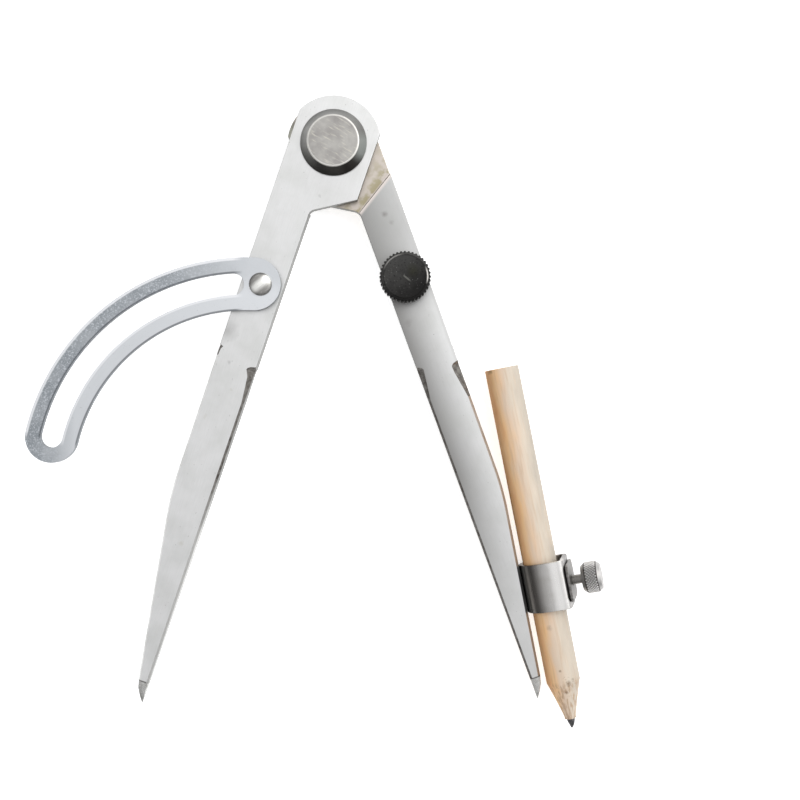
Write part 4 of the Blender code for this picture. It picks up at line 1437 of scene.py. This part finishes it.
right_steel, right_space, right_across, colour = satin_steel("satin_steel_right", LEG_SPREAD - math.pi / 2)
along, _, level = (parts(right_steel, right_space)[axis] for axis in "XYZ")
# Painted shade: darker towards the inner edge, less so near the point.
painted_inner_shade = spread(right_steel, right_across, 8.8, 0.6)
painted_inner_shade = maths(right_steel, "MULTIPLY", painted_inner_shade, spread(right_steel, along, 122, 84, 0.25, 0.95))
colour = mixed(right_steel, painted_inner_shade, colour, STEEL_DULL)
# Painted shade: duller towards the hinge.
painted_hinge_shade = spread(right_steel, along, 50, 24, 0.0, 0.55)
colour = mixed(right_steel, painted_hinge_shade, colour, (0.33, 0.33, 0.32, 1))
# Painted shade: a grey line just inside the outer edge.
painted_edge_shade = spread(right_steel, right_across, 9.15, 9.5, 0.0, 0.45)
colour = mixed(right_steel, painted_edge_shade, colour, STEEL_MID)
for at, radius, strength in (
    ((20.0, 5.4, 8), 1.5, 0.9), ((22.4, 6.3, 8), 1.3, 0.4), ((46, 2.0, 8), 1.8, 0.4)
):
    mark = patch(right_steel, right_space, at, radius, 0.8)
    colour = mixed(right_steel, maths(right_steel, "MULTIPLY", mark, strength), colour, DARK_MARK)
# The lap lies half a thickness down. It was never polished, and it is blotched olive, more so towards the
# step.
in_lap = spread(right_steel, level, LEG_MIDDLE / MM + 0.4, LEG_MIDDLE / MM + 0.1)
in_lap = maths(right_steel, "MULTIPLY", in_lap, spread(right_steel, along, 24, 21))
blotches = noise(right_steel, right_space, 0.42, 5.0)
past_foot = maths(right_steel, "SUBTRACT", along, SHOULDER_FOOT / MM + 0.4)
from_step = maths(right_steel, "ADD", maths(right_steel, "MULTIPLY", right_across, step_slope), past_foot)
olive_near_step = spread(right_steel, from_step, -6.0, -1.0, 0.25, 1.0)
olive_near_step = maths(right_steel, "MULTIPLY", olive_near_step, spread(right_steel, blotches, 0.44, 0.58, 0.0, 0.9))
lap = mixed(right_steel, olive_near_step, BARE_LAP, OLIVE_STAIN)
old_scale = mixed(
    right_steel, spread(right_steel, blotches, 0.4, 0.6), (0.10, 0.10, 0.08, 1), (0.34, 0.34, 0.29, 1)
)
lap = mixed(right_steel, spread(right_steel, right_across, -5.5, -8.0), lap, old_scale)
colour = mixed(right_steel, in_lap, colour, lap)
# A painted highlight: a light cream band along the step.
painted_step_highlight = maths(right_steel, "ABSOLUTE", maths(right_steel, "SUBTRACT", from_step, 0.3))
painted_step_highlight = spread(right_steel, painted_step_highlight, 1.0, 0.3, 0.0, 0.8)
colour = mixed(right_steel, painted_step_highlight, colour, (0.74, 0.67, 0.62, 1))
to_shader(right_steel, "Base Color", colour)
wear(right_steel, right_leg)

# %% [markdown]
# ## Where the wheel went deep
# The scoops and the inner chamfers weren't polished afterwards. They keep the scorched, coarse skin of the
# grinding wheel: dark brown-grey, with scratches across the edge. It is a second material on the same
# forging, which the scoops' cutter brought along. On the left leg they have been ground bright again near
# the point.

# %% Wheel marks
GROUND_FROM = 84.0  # millimetres from the hinge, on the left leg only


def ground_bright(finish):
    """A mask for the left leg's lower end, where the edges were ground again and are bright."""
    space = pattern_space(finish)
    distance = add(finish, "VectorMath", {0: space}, operation="LENGTH").outputs["Value"]
    low_down = spread(finish, distance, GROUND_FROM, GROUND_FROM + 16.0, 0.0, 0.9)
    return maths(finish, "MULTIPLY", low_down, spread(finish, parts(finish, space)["X"], 1.0, -1.0))


scorched = begin_finish("wheel_marks", roughness=0.5)
scorched_space = pattern_space(scorched, 0.0)
burns = noise(scorched, scorched_space, 0.8, 4.0)
lines = noise(scorched, pattern_space(scorched, 0.0, (0.12, 1, 1)), 5.0, 3.0)
colour = mixed(
    scorched, spread(scorched, burns, 0.35, 0.65), (0.085, 0.075, 0.066, 1), (0.24, 0.23, 0.215, 1)
)
colour = mixed(scorched, spread(scorched, lines, 0.52, 0.75, 0.0, 0.6), colour, (0.40, 0.39, 0.37, 1))
colour = mixed(scorched, ground_bright(scorched), colour, STEEL_MID)
to_shader(scorched, "Base Color", colour)
to_shader(scorched, "Roughness", spread(scorched, burns, 0.3, 0.7, 0.42, 0.60))
to_shader(scorched, "Normal", relief(scorched, lines, 0.03))
print(f"{scorched.name} on the scoops and the inner chamfers")

# %% [markdown]
# ## The narrow sides
# Only the broad faces go under the polishing drum. The legs' narrow sides keep a dark, slightly scaly forging
# skin, and the wing's sheared edges show the duller core of the sheet. Both are thin dark lines from above.

# %% Forged and sheared sides
for side_skin, dark, light in (
    (forged_edge, (0.14, 0.14, 0.13, 1), (0.27, 0.27, 0.26, 1)),
    (sheared_edge, (0.11, 0.12, 0.13, 1), (0.27, 0.29, 0.31, 1)),
):
    begin_finish(side_skin.name, roughness=0.45)
    side_space = pattern_space(side_skin)
    flakes = noise(side_skin, side_space, 0.9, 4.0)
    tears = noise(side_skin, pattern_space(side_skin, 0.0, (1, 1, 0.2)), 4.0, 2.0)
    colour = mixed(side_skin, spread(side_skin, flakes, 0.38, 0.62), dark, light)
    colour = mixed(side_skin, spread(side_skin, tears, 0.55, 0.75, 0.0, 0.4), colour, (0.42, 0.42, 0.41, 1))
    if side_skin == forged_edge:
        colour = mixed(side_skin, ground_bright(side_skin), colour, STEEL_MID)
    to_shader(side_skin, "Base Color", colour)
    to_shader(side_skin, "Roughness", spread(side_skin, flakes, 0.3, 0.7, 0.36, 0.55))
    to_shader(side_skin, "Normal", relief(side_skin, flakes, 0.015, relief(side_skin, tears, 0.01)))
    print(f"{side_skin.name} on the narrow sides")

# %% [markdown]
# ## The points' skin
# The points are hardened in oil and blasted clean. They are greyer and rougher than the legs, with a fine
# even speckle and soft darker smudges.

# %% Blasted point steel
blasted = begin_finish("blasted_steel", roughness=0.5)
blasted_space = pattern_space(blasted)
speckle = noise(blasted, blasted_space, 4.5, 3.0)
smoke = noise(blasted, blasted_space, 0.6, 2.0)
colour = mixed(blasted, spread(blasted, speckle, 0.35, 0.65), (0.44, 0.44, 0.42, 1), (0.78, 0.78, 0.755, 1))
colour = mixed(blasted, spread(blasted, smoke, 0.45, 0.70, 0.0, 0.4), colour, (0.22, 0.21, 0.19, 1))
to_shader(blasted, "Base Color", colour)
to_shader(blasted, "Roughness", spread(blasted, speckle, 0.3, 0.7, 0.40, 0.58))
to_shader(blasted, "Normal", relief(blasted, speckle, 0.03))
wear(blasted, left_point, right_point)

# %% [markdown]
# ## The hinge pin and its cap
# Both are turned from round bar, so the tool leaves fine rings about the hinge. The flat face was filed
# across after riveting, which gives short slanting scratches, and its rim has a painted highlight. The slope
# around it is painted dark as painted shade, most of all at the bottom, with a painted reflection at its
# right.
#
# The rings are a noise read along the radius only. The face, the rim and the slope are told apart by radius.

# %% Turned steel
turned_steel = begin_finish("turned_steel", roughness=0.4)
hub = pattern_space(turned_steel)
hub_x, hub_y, _ = (parts(turned_steel, hub)[axis] for axis in "XYZ")
radius = from_axis(turned_steel, hub_x, hub_y)
rings = noise(turned_steel, add(turned_steel, "CombineXYZ", {0: radius}).outputs[0], 6.0, 2.0)
cloud = noise(turned_steel, hub, 0.22, 3.0)
file_marks = noise(turned_steel, pattern_space(turned_steel, math.radians(-32), (0.22, 1.5, 1)), 1.5, 3.0)
face = mixed(
    turned_steel, spread(turned_steel, cloud, 0.36, 0.62), (0.31, 0.298, 0.285, 1), (0.44, 0.43, 0.405, 1)
)
face = mixed(
    turned_steel, spread(turned_steel, file_marks, 0.56, 0.68, 0.0, 0.75), face, (0.58, 0.56, 0.49, 1)
)
face = mixed(turned_steel, spread(turned_steel, rings, 0.4, 0.7, 0.0, 0.12), face, (0.2, 0.2, 0.19, 1))
# Painted shade on the slope: light towards the top and left, darkest at the bottom.
painted_light_way = maths(turned_steel, "ADD", maths(turned_steel, "MULTIPLY", hub_x, -0.35), hub_y)
slope = mixed(
    turned_steel, spread(turned_steel, painted_light_way, -6.5, 7.0), (0.060, 0.057, 0.052, 1), (0.30, 0.30, 0.29, 1)
)
# A painted reflection on the right of the slope.
right_gleam = patch(turned_steel, hub, (7.2, -1.5, 9.5), 4.2)
slope = mixed(
    turned_steel, maths(turned_steel, "MULTIPLY", right_gleam, 0.55), slope, (0.34, 0.365, 0.345, 1)
)
slope = mixed(turned_steel, spread(turned_steel, rings, 0.4, 0.65, 0.0, 0.25), slope, (0.05, 0.05, 0.045, 1))
colour = mixed(turned_steel, spread(turned_steel, radius, 6.05, 6.20), face, slope)
# A painted highlight on the rim of the face.
rim = maths(
    turned_steel,
    "MULTIPLY",
    spread(turned_steel, radius, 5.70, 5.82),
    spread(turned_steel, radius, 6.22, 6.10),
)
colour = mixed(turned_steel, maths(turned_steel, "MULTIPLY", rim, 0.6), colour, (0.86, 0.85, 0.80, 1))
to_shader(turned_steel, "Base Color", colour)
to_shader(turned_steel, "Roughness", spread(turned_steel, cloud, 0.3, 0.7, 0.34, 0.46))
to_shader(turned_steel, "Normal", relief(turned_steel, file_marks, 0.01, relief(turned_steel, rings, 0.006)))
wear(turned_steel, hinge_pin, hinge_cap)

# %% [markdown]
# ## Spring steel
# The spring washer is rolled strip, tempered to a dark straw and blue, and oiled. Only its rim shows,
# between the legs and the cap.

# %% Tempered spring
tempered = begin_finish("tempered_spring", roughness=0.34)
tempered_space = pattern_space(tempered)
bloom = noise(tempered, tempered_space, 0.4, 3.0)
rolling = noise(tempered, pattern_space(tempered, 0.3, (0.1, 1, 1)), 4.0, 2.0)
colour = mixed(tempered, spread(tempered, bloom, 0.4, 0.6), (0.21, 0.17, 0.11, 1), (0.13, 0.15, 0.20, 1))
colour = mixed(tempered, spread(tempered, rolling, 0.5, 0.7, 0.0, 0.4), colour, (0.38, 0.37, 0.35, 1))
to_shader(tempered, "Base Color", colour)
to_shader(tempered, "Roughness", spread(tempered, bloom, 0.3, 0.7, 0.28, 0.42))
to_shader(tempered, "Normal", relief(tempered, rolling, 0.004))
wear(tempered, spring_washer)

# %% [markdown]
# ## Zinc plating on the wing
# The wing is dipped in a zinc bath and passivated, which makes a cool, bluish grey with fine crystals.
# Where the lock knob has been slid along the outer rail, the plating is rubbed dull and speckled. The inner
# rail and the end round the rivet stay clean and light.
#
# The two rails are told apart by the distance from the arc's middle.

# %% Zinc plate
ZINC_LIGHT = (0.70, 0.72, 0.735, 1)
ZINC_DULL = (0.29, 0.315, 0.335, 1)
arc_centre = rivet_place + Matrix.Rotation(WING_SWING, 3, "Z") @ Vector((0, -ARC_RADIUS, 0))
zinc = begin_finish("zinc_plate", roughness=0.34)
zinc_space = pattern_space(zinc, WING_SWING, start=(arc_centre.x, arc_centre.y, 0))
from_rivet = pattern_space(zinc, WING_SWING, start=(rivet_place.x, rivet_place.y, 0))
zinc_x, zinc_y, _ = (parts(zinc, zinc_space)[axis] for axis in "XYZ")
arc_radius = from_axis(zinc, zinc_x, zinc_y)
crystals = noise(zinc, zinc_space, 3.2, 3.0, 0.6)
drift = noise(zinc, zinc_space, 0.18, 3.0)
distance_out = parts(zinc, from_rivet)["X"]
rubbed = spread(zinc, arc_radius, 45.0, 49.0, 0.12, 1.0)
rubbed = maths(zinc, "MULTIPLY", rubbed, spread(zinc, distance_out, -3.0, -22.0, 0.25, 1.0))
rubbed = maths(zinc, "MAXIMUM", rubbed, spread(zinc, distance_out, -40.0, -46.0, 0.0, 0.75))
rubbed = maths(zinc, "MULTIPLY", rubbed, spread(zinc, drift, 0.3, 0.6, 0.72, 1.0))
colour = mixed(zinc, rubbed, ZINC_LIGHT, ZINC_DULL)
colour = mixed(
    zinc, maths(zinc, "MULTIPLY", spread(zinc, crystals, 0.50, 0.66), rubbed), colour, (0.60, 0.63, 0.66, 1)
)
colour = mixed(zinc, spread(zinc, crystals, 0.36, 0.24, 0.0, 0.5), colour, (0.30, 0.32, 0.33, 1))
# Painted highlights on each rail's outer rim and painted shade lines on its inner one.
arc_angle = maths(zinc, "ARCTAN2", maths(zinc, "MULTIPLY", zinc_x, -1.0), zinc_y)
on_rails = maths(
    zinc, "MULTIPLY",
    spread(zinc, arc_angle, math.radians(5.0), math.radians(7.5)),
    spread(zinc, arc_angle, math.radians(82.5), math.radians(80.5)),
)
for low, high, tint, strength in (
    (52.55, 53.4, (0.92, 0.93, 0.94, 1), 0.8),
    (43.85, 44.6, (0.92, 0.93, 0.94, 1), 0.6),
    (49.4, 49.95, (0.10, 0.11, 0.12, 1), 0.75),
    (40.6, 41.15, (0.10, 0.11, 0.12, 1), 0.75),
):
    painted_rim_line = maths(
        zinc, "MULTIPLY", spread(zinc, arc_radius, low - 0.1, low + 0.1),
        spread(zinc, arc_radius, high + 0.1, high - 0.1, 0.0, strength),
    )
    painted_rim_line = maths(zinc, "MULTIPLY", painted_rim_line, on_rails)
    colour = mixed(zinc, painted_rim_line, colour, tint)
to_shader(zinc, "Base Color", colour)
to_shader(zinc, "Roughness", spread(zinc, crystals, 0.3, 0.7, 0.28, 0.42))
to_shader(zinc, "Normal", relief(zinc, crystals, 0.012))
wear(zinc, wing)

# %% [markdown]
# ## The rivet's steel
# The dome was struck with a cupped punch and then wiped with emery in one direction, which leaves fine
# scratches along it. A bright band across the dome is a painted highlight, with painted shade on its sides.

# %% Wiped rivet
wiped_painted_band = begin_finish("wiped_steel_painted_band", roughness=0.32)
wiped_space = pattern_space(wiped_painted_band, math.radians(38), start=(rivet_place.x, rivet_place.y, 0))
emery = noise(wiped_painted_band, pattern_space(wiped_painted_band, math.radians(38), (0.15, 1, 1)), 4.5, 3.0)
# A painted highlight: a bright band across the dome, with painted shade towards its sides.
from_painted_band = maths(wiped_painted_band, "ABSOLUTE", parts(wiped_painted_band, wiped_space)["Y"])
from_painted_band = maths(wiped_painted_band, "ADD", from_painted_band, maths(wiped_painted_band, "MULTIPLY", emery, 0.8))
colour = mixed(wiped_painted_band, spread(wiped_painted_band, from_painted_band, 0.75, 1.75), (0.88, 0.88, 0.84, 1), (0.30, 0.295, 0.28, 1))
colour = mixed(wiped_painted_band, spread(wiped_painted_band, emery, 0.52, 0.72, 0.0, 0.5), colour, (0.66, 0.65, 0.62, 1))
to_shader(wiped_painted_band, "Base Color", colour)
to_shader(wiped_painted_band, "Roughness", spread(wiped_painted_band, emery, 0.3, 0.7, 0.26, 0.40))
to_shader(wiped_painted_band, "Normal", relief(wiped_painted_band, emery, 0.012))
wear(wiped_painted_band, rivet, thin_washer)

# %% [markdown]
# ## Black oxide on the knob
# The knob is blackened in a hot salt bath. A scratch runs from the middle outwards, and dust sits on it. The
# dished face carries greasy finger marks, seen as lighter and darker patches, and painted light makes it
# lighter towards the top and left. Bright arcs on the raised ring are painted highlights.

# %% Black oxide
oxide = begin_finish("black_oxide", roughness=0.46, metallic=0.75)
oxide_space = pattern_space(oxide, 0.0, start=(lock_place.x, lock_place.y, 0))
oxide_x, oxide_y, _ = (parts(oxide, oxide_space)[axis] for axis in "XYZ")
knob_radius = from_axis(oxide, oxide_x, oxide_y)
smears = noise(oxide, oxide_space, 0.35, 3.0)
dust = noise(oxide, oxide_space, 2.4, 2.0)
# Painted light: the face is lighter towards the top and left, broken up by the smears.
painted_light_and_smears = maths(oxide, "ADD", oxide_y, maths(oxide, "MULTIPLY", oxide_x, -0.5))
painted_light_and_smears = maths(oxide, "ADD", painted_light_and_smears, maths(oxide, "MULTIPLY", smears, 9.0))
colour = mixed(oxide, spread(oxide, painted_light_and_smears, 0.5, 9.5), (0.009, 0.0085, 0.008, 1), (0.050, 0.049, 0.047, 1))
green_film = patch(oxide, oxide_space, (1.8, 1.4, 13.6), 3.0, 0.7)
colour = mixed(oxide, maths(oxide, "MULTIPLY", green_film, 0.7), colour, (0.028, 0.028, 0.018, 1))
colour = mixed(oxide, spread(oxide, dust, 0.66, 0.74, 0.0, 0.8), colour, (0.14, 0.14, 0.135, 1))
colour = mixed(oxide, spread(oxide, dust, 0.40, 0.30, 0.0, 0.9), colour, (0.004, 0.004, 0.004, 1))
# the scratch, from the pip down to the right
scratch_space = pattern_space(oxide, math.radians(-40), start=(lock_place.x, lock_place.y, 0))
scratch_along, scratch_across, _ = (parts(oxide, scratch_space)[axis] for axis in "XYZ")
scratch = spread(oxide, maths(oxide, "ABSOLUTE", scratch_across), 0.26, 0.12)
for start, end in ((-0.6, -0.3), (1.9, 1.0)):
    scratch = maths(oxide, "MULTIPLY", scratch, spread(oxide, scratch_along, start, end))
colour = mixed(oxide, scratch, colour, (0.11, 0.11, 0.10, 1))
# Painted highlights: bright arcs on the raised ring, strongest at the right.
painted_ring_highlight = maths(
    oxide, "MULTIPLY", spread(oxide, knob_radius, 4.98, 5.08), spread(oxide, knob_radius, 5.38, 5.28)
)
strong = patch(oxide, oxide_space, (5.1, 0.3, 13.6), 2.1)
faint = patch(oxide, oxide_space, (-3.1, 4.1, 13.6), 3.2)
painted_ring_highlight = maths(
    oxide, "MULTIPLY", painted_ring_highlight, maths(oxide, "MAXIMUM", strong, maths(oxide, "MULTIPLY", faint, 0.35))
)
colour = mixed(oxide, painted_ring_highlight, colour, (0.62, 0.60, 0.57, 1))
to_shader(oxide, "Base Color", colour)
to_shader(oxide, "Roughness", spread(oxide, smears, 0.3, 0.7, 0.38, 0.54))
to_shader(oxide, "Normal", relief(oxide, dust, 0.012))
wear(oxide, knob)

# %% [markdown]
# ## Screws and the thumbscrew
# Screw stock is drawn bar with a thin phosphate skin. The crests of the threads and the tips of the knurl
# are rubbed bright, and the grooves stay dark with old oil. How far a place lies from the screw's own axis
# tells a crest from a groove.

# %% Screw steel


def oiled_screw(name, centre, axis, groove, crest, tint):
    """Dark in the grooves and bright on the crests, by the distance in millimetres from an axis."""
    finish = begin_finish(name, roughness=0.42)
    space = pattern_space(finish)
    offset_node = add(
        finish, "VectorMath", {0: space, 1: [1000 * share for share in centre]}, operation="SUBTRACT"
    )
    crossed = add(finish, "VectorMath", {0: offset_node.outputs[0], 1: axis}, operation="CROSS_PRODUCT")
    distance = add(finish, "VectorMath", {0: crossed.outputs[0]}, operation="LENGTH").outputs["Value"]
    grit = noise(finish, space, 3.6, 3.0)
    gritty = maths(finish, "ADD", distance, maths(finish, "MULTIPLY", grit, 0.12))
    height_share = spread(finish, gritty, groove + 0.05, crest + 0.06)
    end_face = spread(finish, gritty, groove + 0.02, groove - 0.04, 0.0, 0.55)
    height_share = maths(finish, "MAXIMUM", height_share, end_face)
    colour = mixed(finish, height_share, (0.055, 0.05, 0.045, 1), tint)
    colour = mixed(finish, spread(finish, grit, 0.58, 0.72, 0.0, 0.4), colour, (0.58, 0.57, 0.55, 1))
    to_shader(finish, "Base Color", colour)
    to_shader(finish, "Roughness", spread(finish, grit, 0.3, 0.7, 0.36, 0.52))
    to_shader(finish, "Normal", relief(finish, grit, 0.012))
    return finish


head_steel = oiled_screw("knurled_steel", clamp_place, clamp_axis, 3.50, 3.68, (0.74, 0.73, 0.715, 1))
shank_steel = oiled_screw("oiled_screw_steel", clamp_place, clamp_axis, 0.95, 1.22, (0.40, 0.385, 0.36, 1))
stud_steel = oiled_screw("oiled_stud_steel", lock_place, (0, 0, 1), 1.58, 1.98, (0.42, 0.41, 0.39, 1))
wear(head_steel, head)
wear(shank_steel, shank)
wear(stud_steel, stud, knob_washer)

# %% [markdown]
# ## Stainless strip
# The clamp is bent from cold-rolled stainless strip, brushed along the pencil before bending. Fine lines
# run the same way as the pencil. The side next to the leg has been welded. Painted shade darkens it, a
# painted highlight band lies right of the middle, and painted shade darkens the flat side next to the screw.

# %% Brushed strip
pencil_turn = math.atan2(pencil_axis.y, pencil_axis.x)
brushed = begin_finish("brushed_stainless", roughness=0.3)
brushed_space = pattern_space(brushed, pencil_turn, start=tuple(clamp_place))
brush_lines = noise(brushed, pattern_space(brushed, pencil_turn, (0.04, 1, 1)), 4.5, 3.0)
haze = noise(brushed, brushed_space, 0.35, 3.0)
brushed_across = parts(brushed, brushed_space)["Y"]
colour = mixed(brushed, spread(brushed, haze, 0.35, 0.65), (0.74, 0.73, 0.71, 1), (0.64, 0.63, 0.60, 1))
colour = mixed(brushed, spread(brushed, brush_lines, 0.45, 0.75, 0.0, 0.25), colour, (0.36, 0.35, 0.33, 1))
# Painted shade, darkening towards the side next to the leg.
painted_leg_side_shade = spread(brushed, brushed_across, 1.2, -3.2)
colour = mixed(brushed, maths(brushed, "MULTIPLY", painted_leg_side_shade, 0.95), colour, (0.12, 0.11, 0.10, 1))
# A painted highlight band right of the middle.
painted_highlight_band = maths(
    brushed, "MULTIPLY", spread(brushed, brushed_across, 0.4, 1.6), spread(
        brushed, brushed_across, 3.4, 2.4, 0.0, 0.8
    )
)
colour = mixed(brushed, painted_highlight_band, colour, (0.92, 0.91, 0.88, 1))
# Painted shade: grey and then dark on the flat side next to the screw, and black on the far edge of the side
# next to the leg.
colour = mixed(brushed, spread(brushed, brushed_across, 3.2, 4.2, 0.0, 0.9), colour, (0.36, 0.345, 0.335, 1))
colour = mixed(brushed, spread(brushed, brushed_across, 4.3, 4.9, 0.0, 0.95), colour, (0.11, 0.105, 0.10, 1))
colour = mixed(brushed, spread(brushed, brushed_across, -4.5, -5.1), colour, (0.02, 0.019, 0.018, 1))
to_shader(brushed, "Base Color", colour)
to_shader(brushed, "Roughness", spread(brushed, brush_lines, 0.3, 0.7, 0.24, 0.38))
to_shader(brushed, "Normal", relief(brushed, brush_lines, 0.002))
wear(brushed, band)

# %% [markdown]
# ## The nut plate
# The plate is sawn off thin bar and only deburred, so it is darker and coarser than the strip: scale on its
# faces, and a painted shadow of the thumbscrew's head round the screw.

# %% Sawn plate
sawn = begin_finish("sawn_plate", roughness=0.42)
sawn_space = pattern_space(sawn)
scale_spots = noise(sawn, sawn_space, 1.6, 4.0)
saw_lines = noise(sawn, pattern_space(sawn, pencil_turn, (1, 0.12, 1)), 3.0, 3.0)
colour = mixed(sawn, spread(sawn, scale_spots, 0.36, 0.64), (0.10, 0.095, 0.09, 1), (0.30, 0.29, 0.275, 1))
colour = mixed(sawn, spread(sawn, saw_lines, 0.5, 0.72, 0.0, 0.4), colour, (0.20, 0.19, 0.18, 1))
# A painted shadow of the thumbscrew's head on the plate, round the screw.
plate_face = clamp_place + clamp_axis * (plate_low + PLATE_THICKNESS)
head_shadow = patch(sawn, sawn_space, [1000 * share for share in plate_face], 4.4, 0.5)
colour = mixed(sawn, maths(sawn, "MULTIPLY", head_shadow, 0.8), colour, (0.07, 0.065, 0.06, 1))
to_shader(sawn, "Base Color", colour)
to_shader(sawn, "Roughness", spread(sawn, scale_spots, 0.3, 0.7, 0.34, 0.50))
to_shader(sawn, "Normal", relief(sawn, scale_spots, 0.006, relief(sawn, saw_lines, 0.005)))
wear(sawn, plate)

# %% [markdown]
# ## The pencil's wood
# The slats are bare cedar without paint. The wood is pinkish cream in the middle; painted shade turns it
# orange brown along the side that lies against the leg and darker grey brown at the far side. The grain runs
# lengthwise, and the blade opens it on the sharpened cone, where it shows as fine brown streaks. A few dark
# flecks and a small knot lie at the cone's shoulder.
#
# The colours across come from a colour ramp on the pencil's own width, and the grain from noise that is
# drawn out along its axis.

# %% Cedar
cedar = begin_finish("bare_cedar", roughness=0.72, metallic=0.0)
cedar_space = pattern_space(cedar, pencil_turn, start=tuple(clamp_place))
grain = noise(cedar, pattern_space(cedar, pencil_turn, (0.06, 1, 1)), 1.9, 4.0, 0.55, 0.3)
fibres = noise(cedar, pattern_space(cedar, pencil_turn, (0.06, 1, 1)), 9.0, 2.0)
tone = noise(cedar, pattern_space(cedar, pencil_turn, (0.25, 1, 1)), 0.45, 2.0)
cedar_along, cedar_across, _ = (parts(cedar, cedar_space)[axis] for axis in "XYZ")
# Painted shade across the width: orange brown on the side next to the leg, darker grey brown at the far side.
shifted = maths(
    cedar, "ADD", cedar_across, maths(cedar, "MULTIPLY", maths(cedar, "SUBTRACT", tone, 0.5), 3.5)
)
colour = ramp(
    cedar,
    spread(cedar, shifted, -4.4, 4.0),
    ((0.0, (0.78, 0.42, 0.19)), (0.16, (0.84, 0.54, 0.28)), (0.38, (0.72, 0.56, 0.42)),
     (0.60, (0.65, 0.565, 0.46)), (1.0, (0.39, 0.355, 0.305))),
)
colour = mixed(cedar, spread(cedar, grain, 0.50, 0.76, 0.0, 0.40), colour, (0.52, 0.33, 0.18, 1))
colour = mixed(cedar, spread(cedar, fibres, 0.55, 0.80, 0.0, 0.22), colour, (0.86, 0.72, 0.56, 1))
on_cone = spread(cedar, cedar_along, cone_start / MM - 0.6, cone_start / MM + 0.6)
streaks = maths(cedar, "MULTIPLY", on_cone, spread(cedar, grain, 0.46, 0.60, 0.0, 0.55))
colour = mixed(cedar, streaks, colour, (0.40, 0.25, 0.14, 1))
for at, size, strength in (
    ((cone_start / MM + 0.1, 0.2, 4.0), 1.6, 1.0),
    ((cone_start / MM - 0.6, 1.6, 3.8), 1.0, 0.8),
    ((cone_start / MM + 0.3, 2.6, 3.2), 0.8, 0.7),
    ((cone_start / MM + 2.2, -0.6, 3.4), 1.0, 0.8),
    ((cone_start / MM - 3.2, -1.2, 4.0), 0.8, 0.8),
    ((-52.1, -3.2, 2.4), 1.8, 0.9),
    ((9.6, -1.6, 3.8), 1.5, 0.35),
):
    knot = patch(cedar, cedar_space, at, size, 0.9)
    colour = mixed(cedar, maths(cedar, "MULTIPLY", knot, strength), colour, (0.16, 0.095, 0.045, 1))
flecks = maths(
    cedar, "MULTIPLY",
    spread(cedar, noise(cedar, cedar_space, 2.6, 2.0), 0.64, 0.72),
    patch(cedar, cedar_space, (cone_start / MM + 0.3, 0.6, 4.0), 3.4),
)
colour = mixed(cedar, flecks, colour, (0.22, 0.13, 0.06, 1))
to_shader(cedar, "Base Color", colour)
to_shader(cedar, "Roughness", spread(cedar, fibres, 0.3, 0.7, 0.62, 0.80))
to_shader(cedar, "Normal", relief(cedar, grain, 0.04, relief(cedar, fibres, 0.015)))
wear(cedar, upper_slat, lower_slat)

# %% [markdown]
# ## Graphite
# Graphite and clay, baked and waxed. It is nearly black with a grey, metallic sheen where it has been drawn
# over the blade, and it breaks in small flat grains.

# %% Graphite
graphite = begin_finish("graphite", roughness=0.42, metallic=0.35)
graphite_space = pattern_space(graphite, pencil_turn)
sheen = noise(graphite, pattern_space(graphite, pencil_turn, (0.3, 1, 1)), 2.2, 3.0)
grains = noise(graphite, graphite_space, 7.0, 2.0)
colour = mixed(graphite, spread(graphite, sheen, 0.4, 0.66), (0.030, 0.028, 0.030, 1), (0.13, 0.125, 0.13, 1))
colour = mixed(graphite, spread(graphite, grains, 0.60, 0.74, 0.0, 0.6), colour, (0.24, 0.235, 0.24, 1))
to_shader(graphite, "Base Color", colour)
to_shader(graphite, "Roughness", spread(graphite, sheen, 0.3, 0.7, 0.34, 0.52))
to_shader(graphite, "Normal", relief(graphite, grains, 0.02))
wear(graphite, lead)
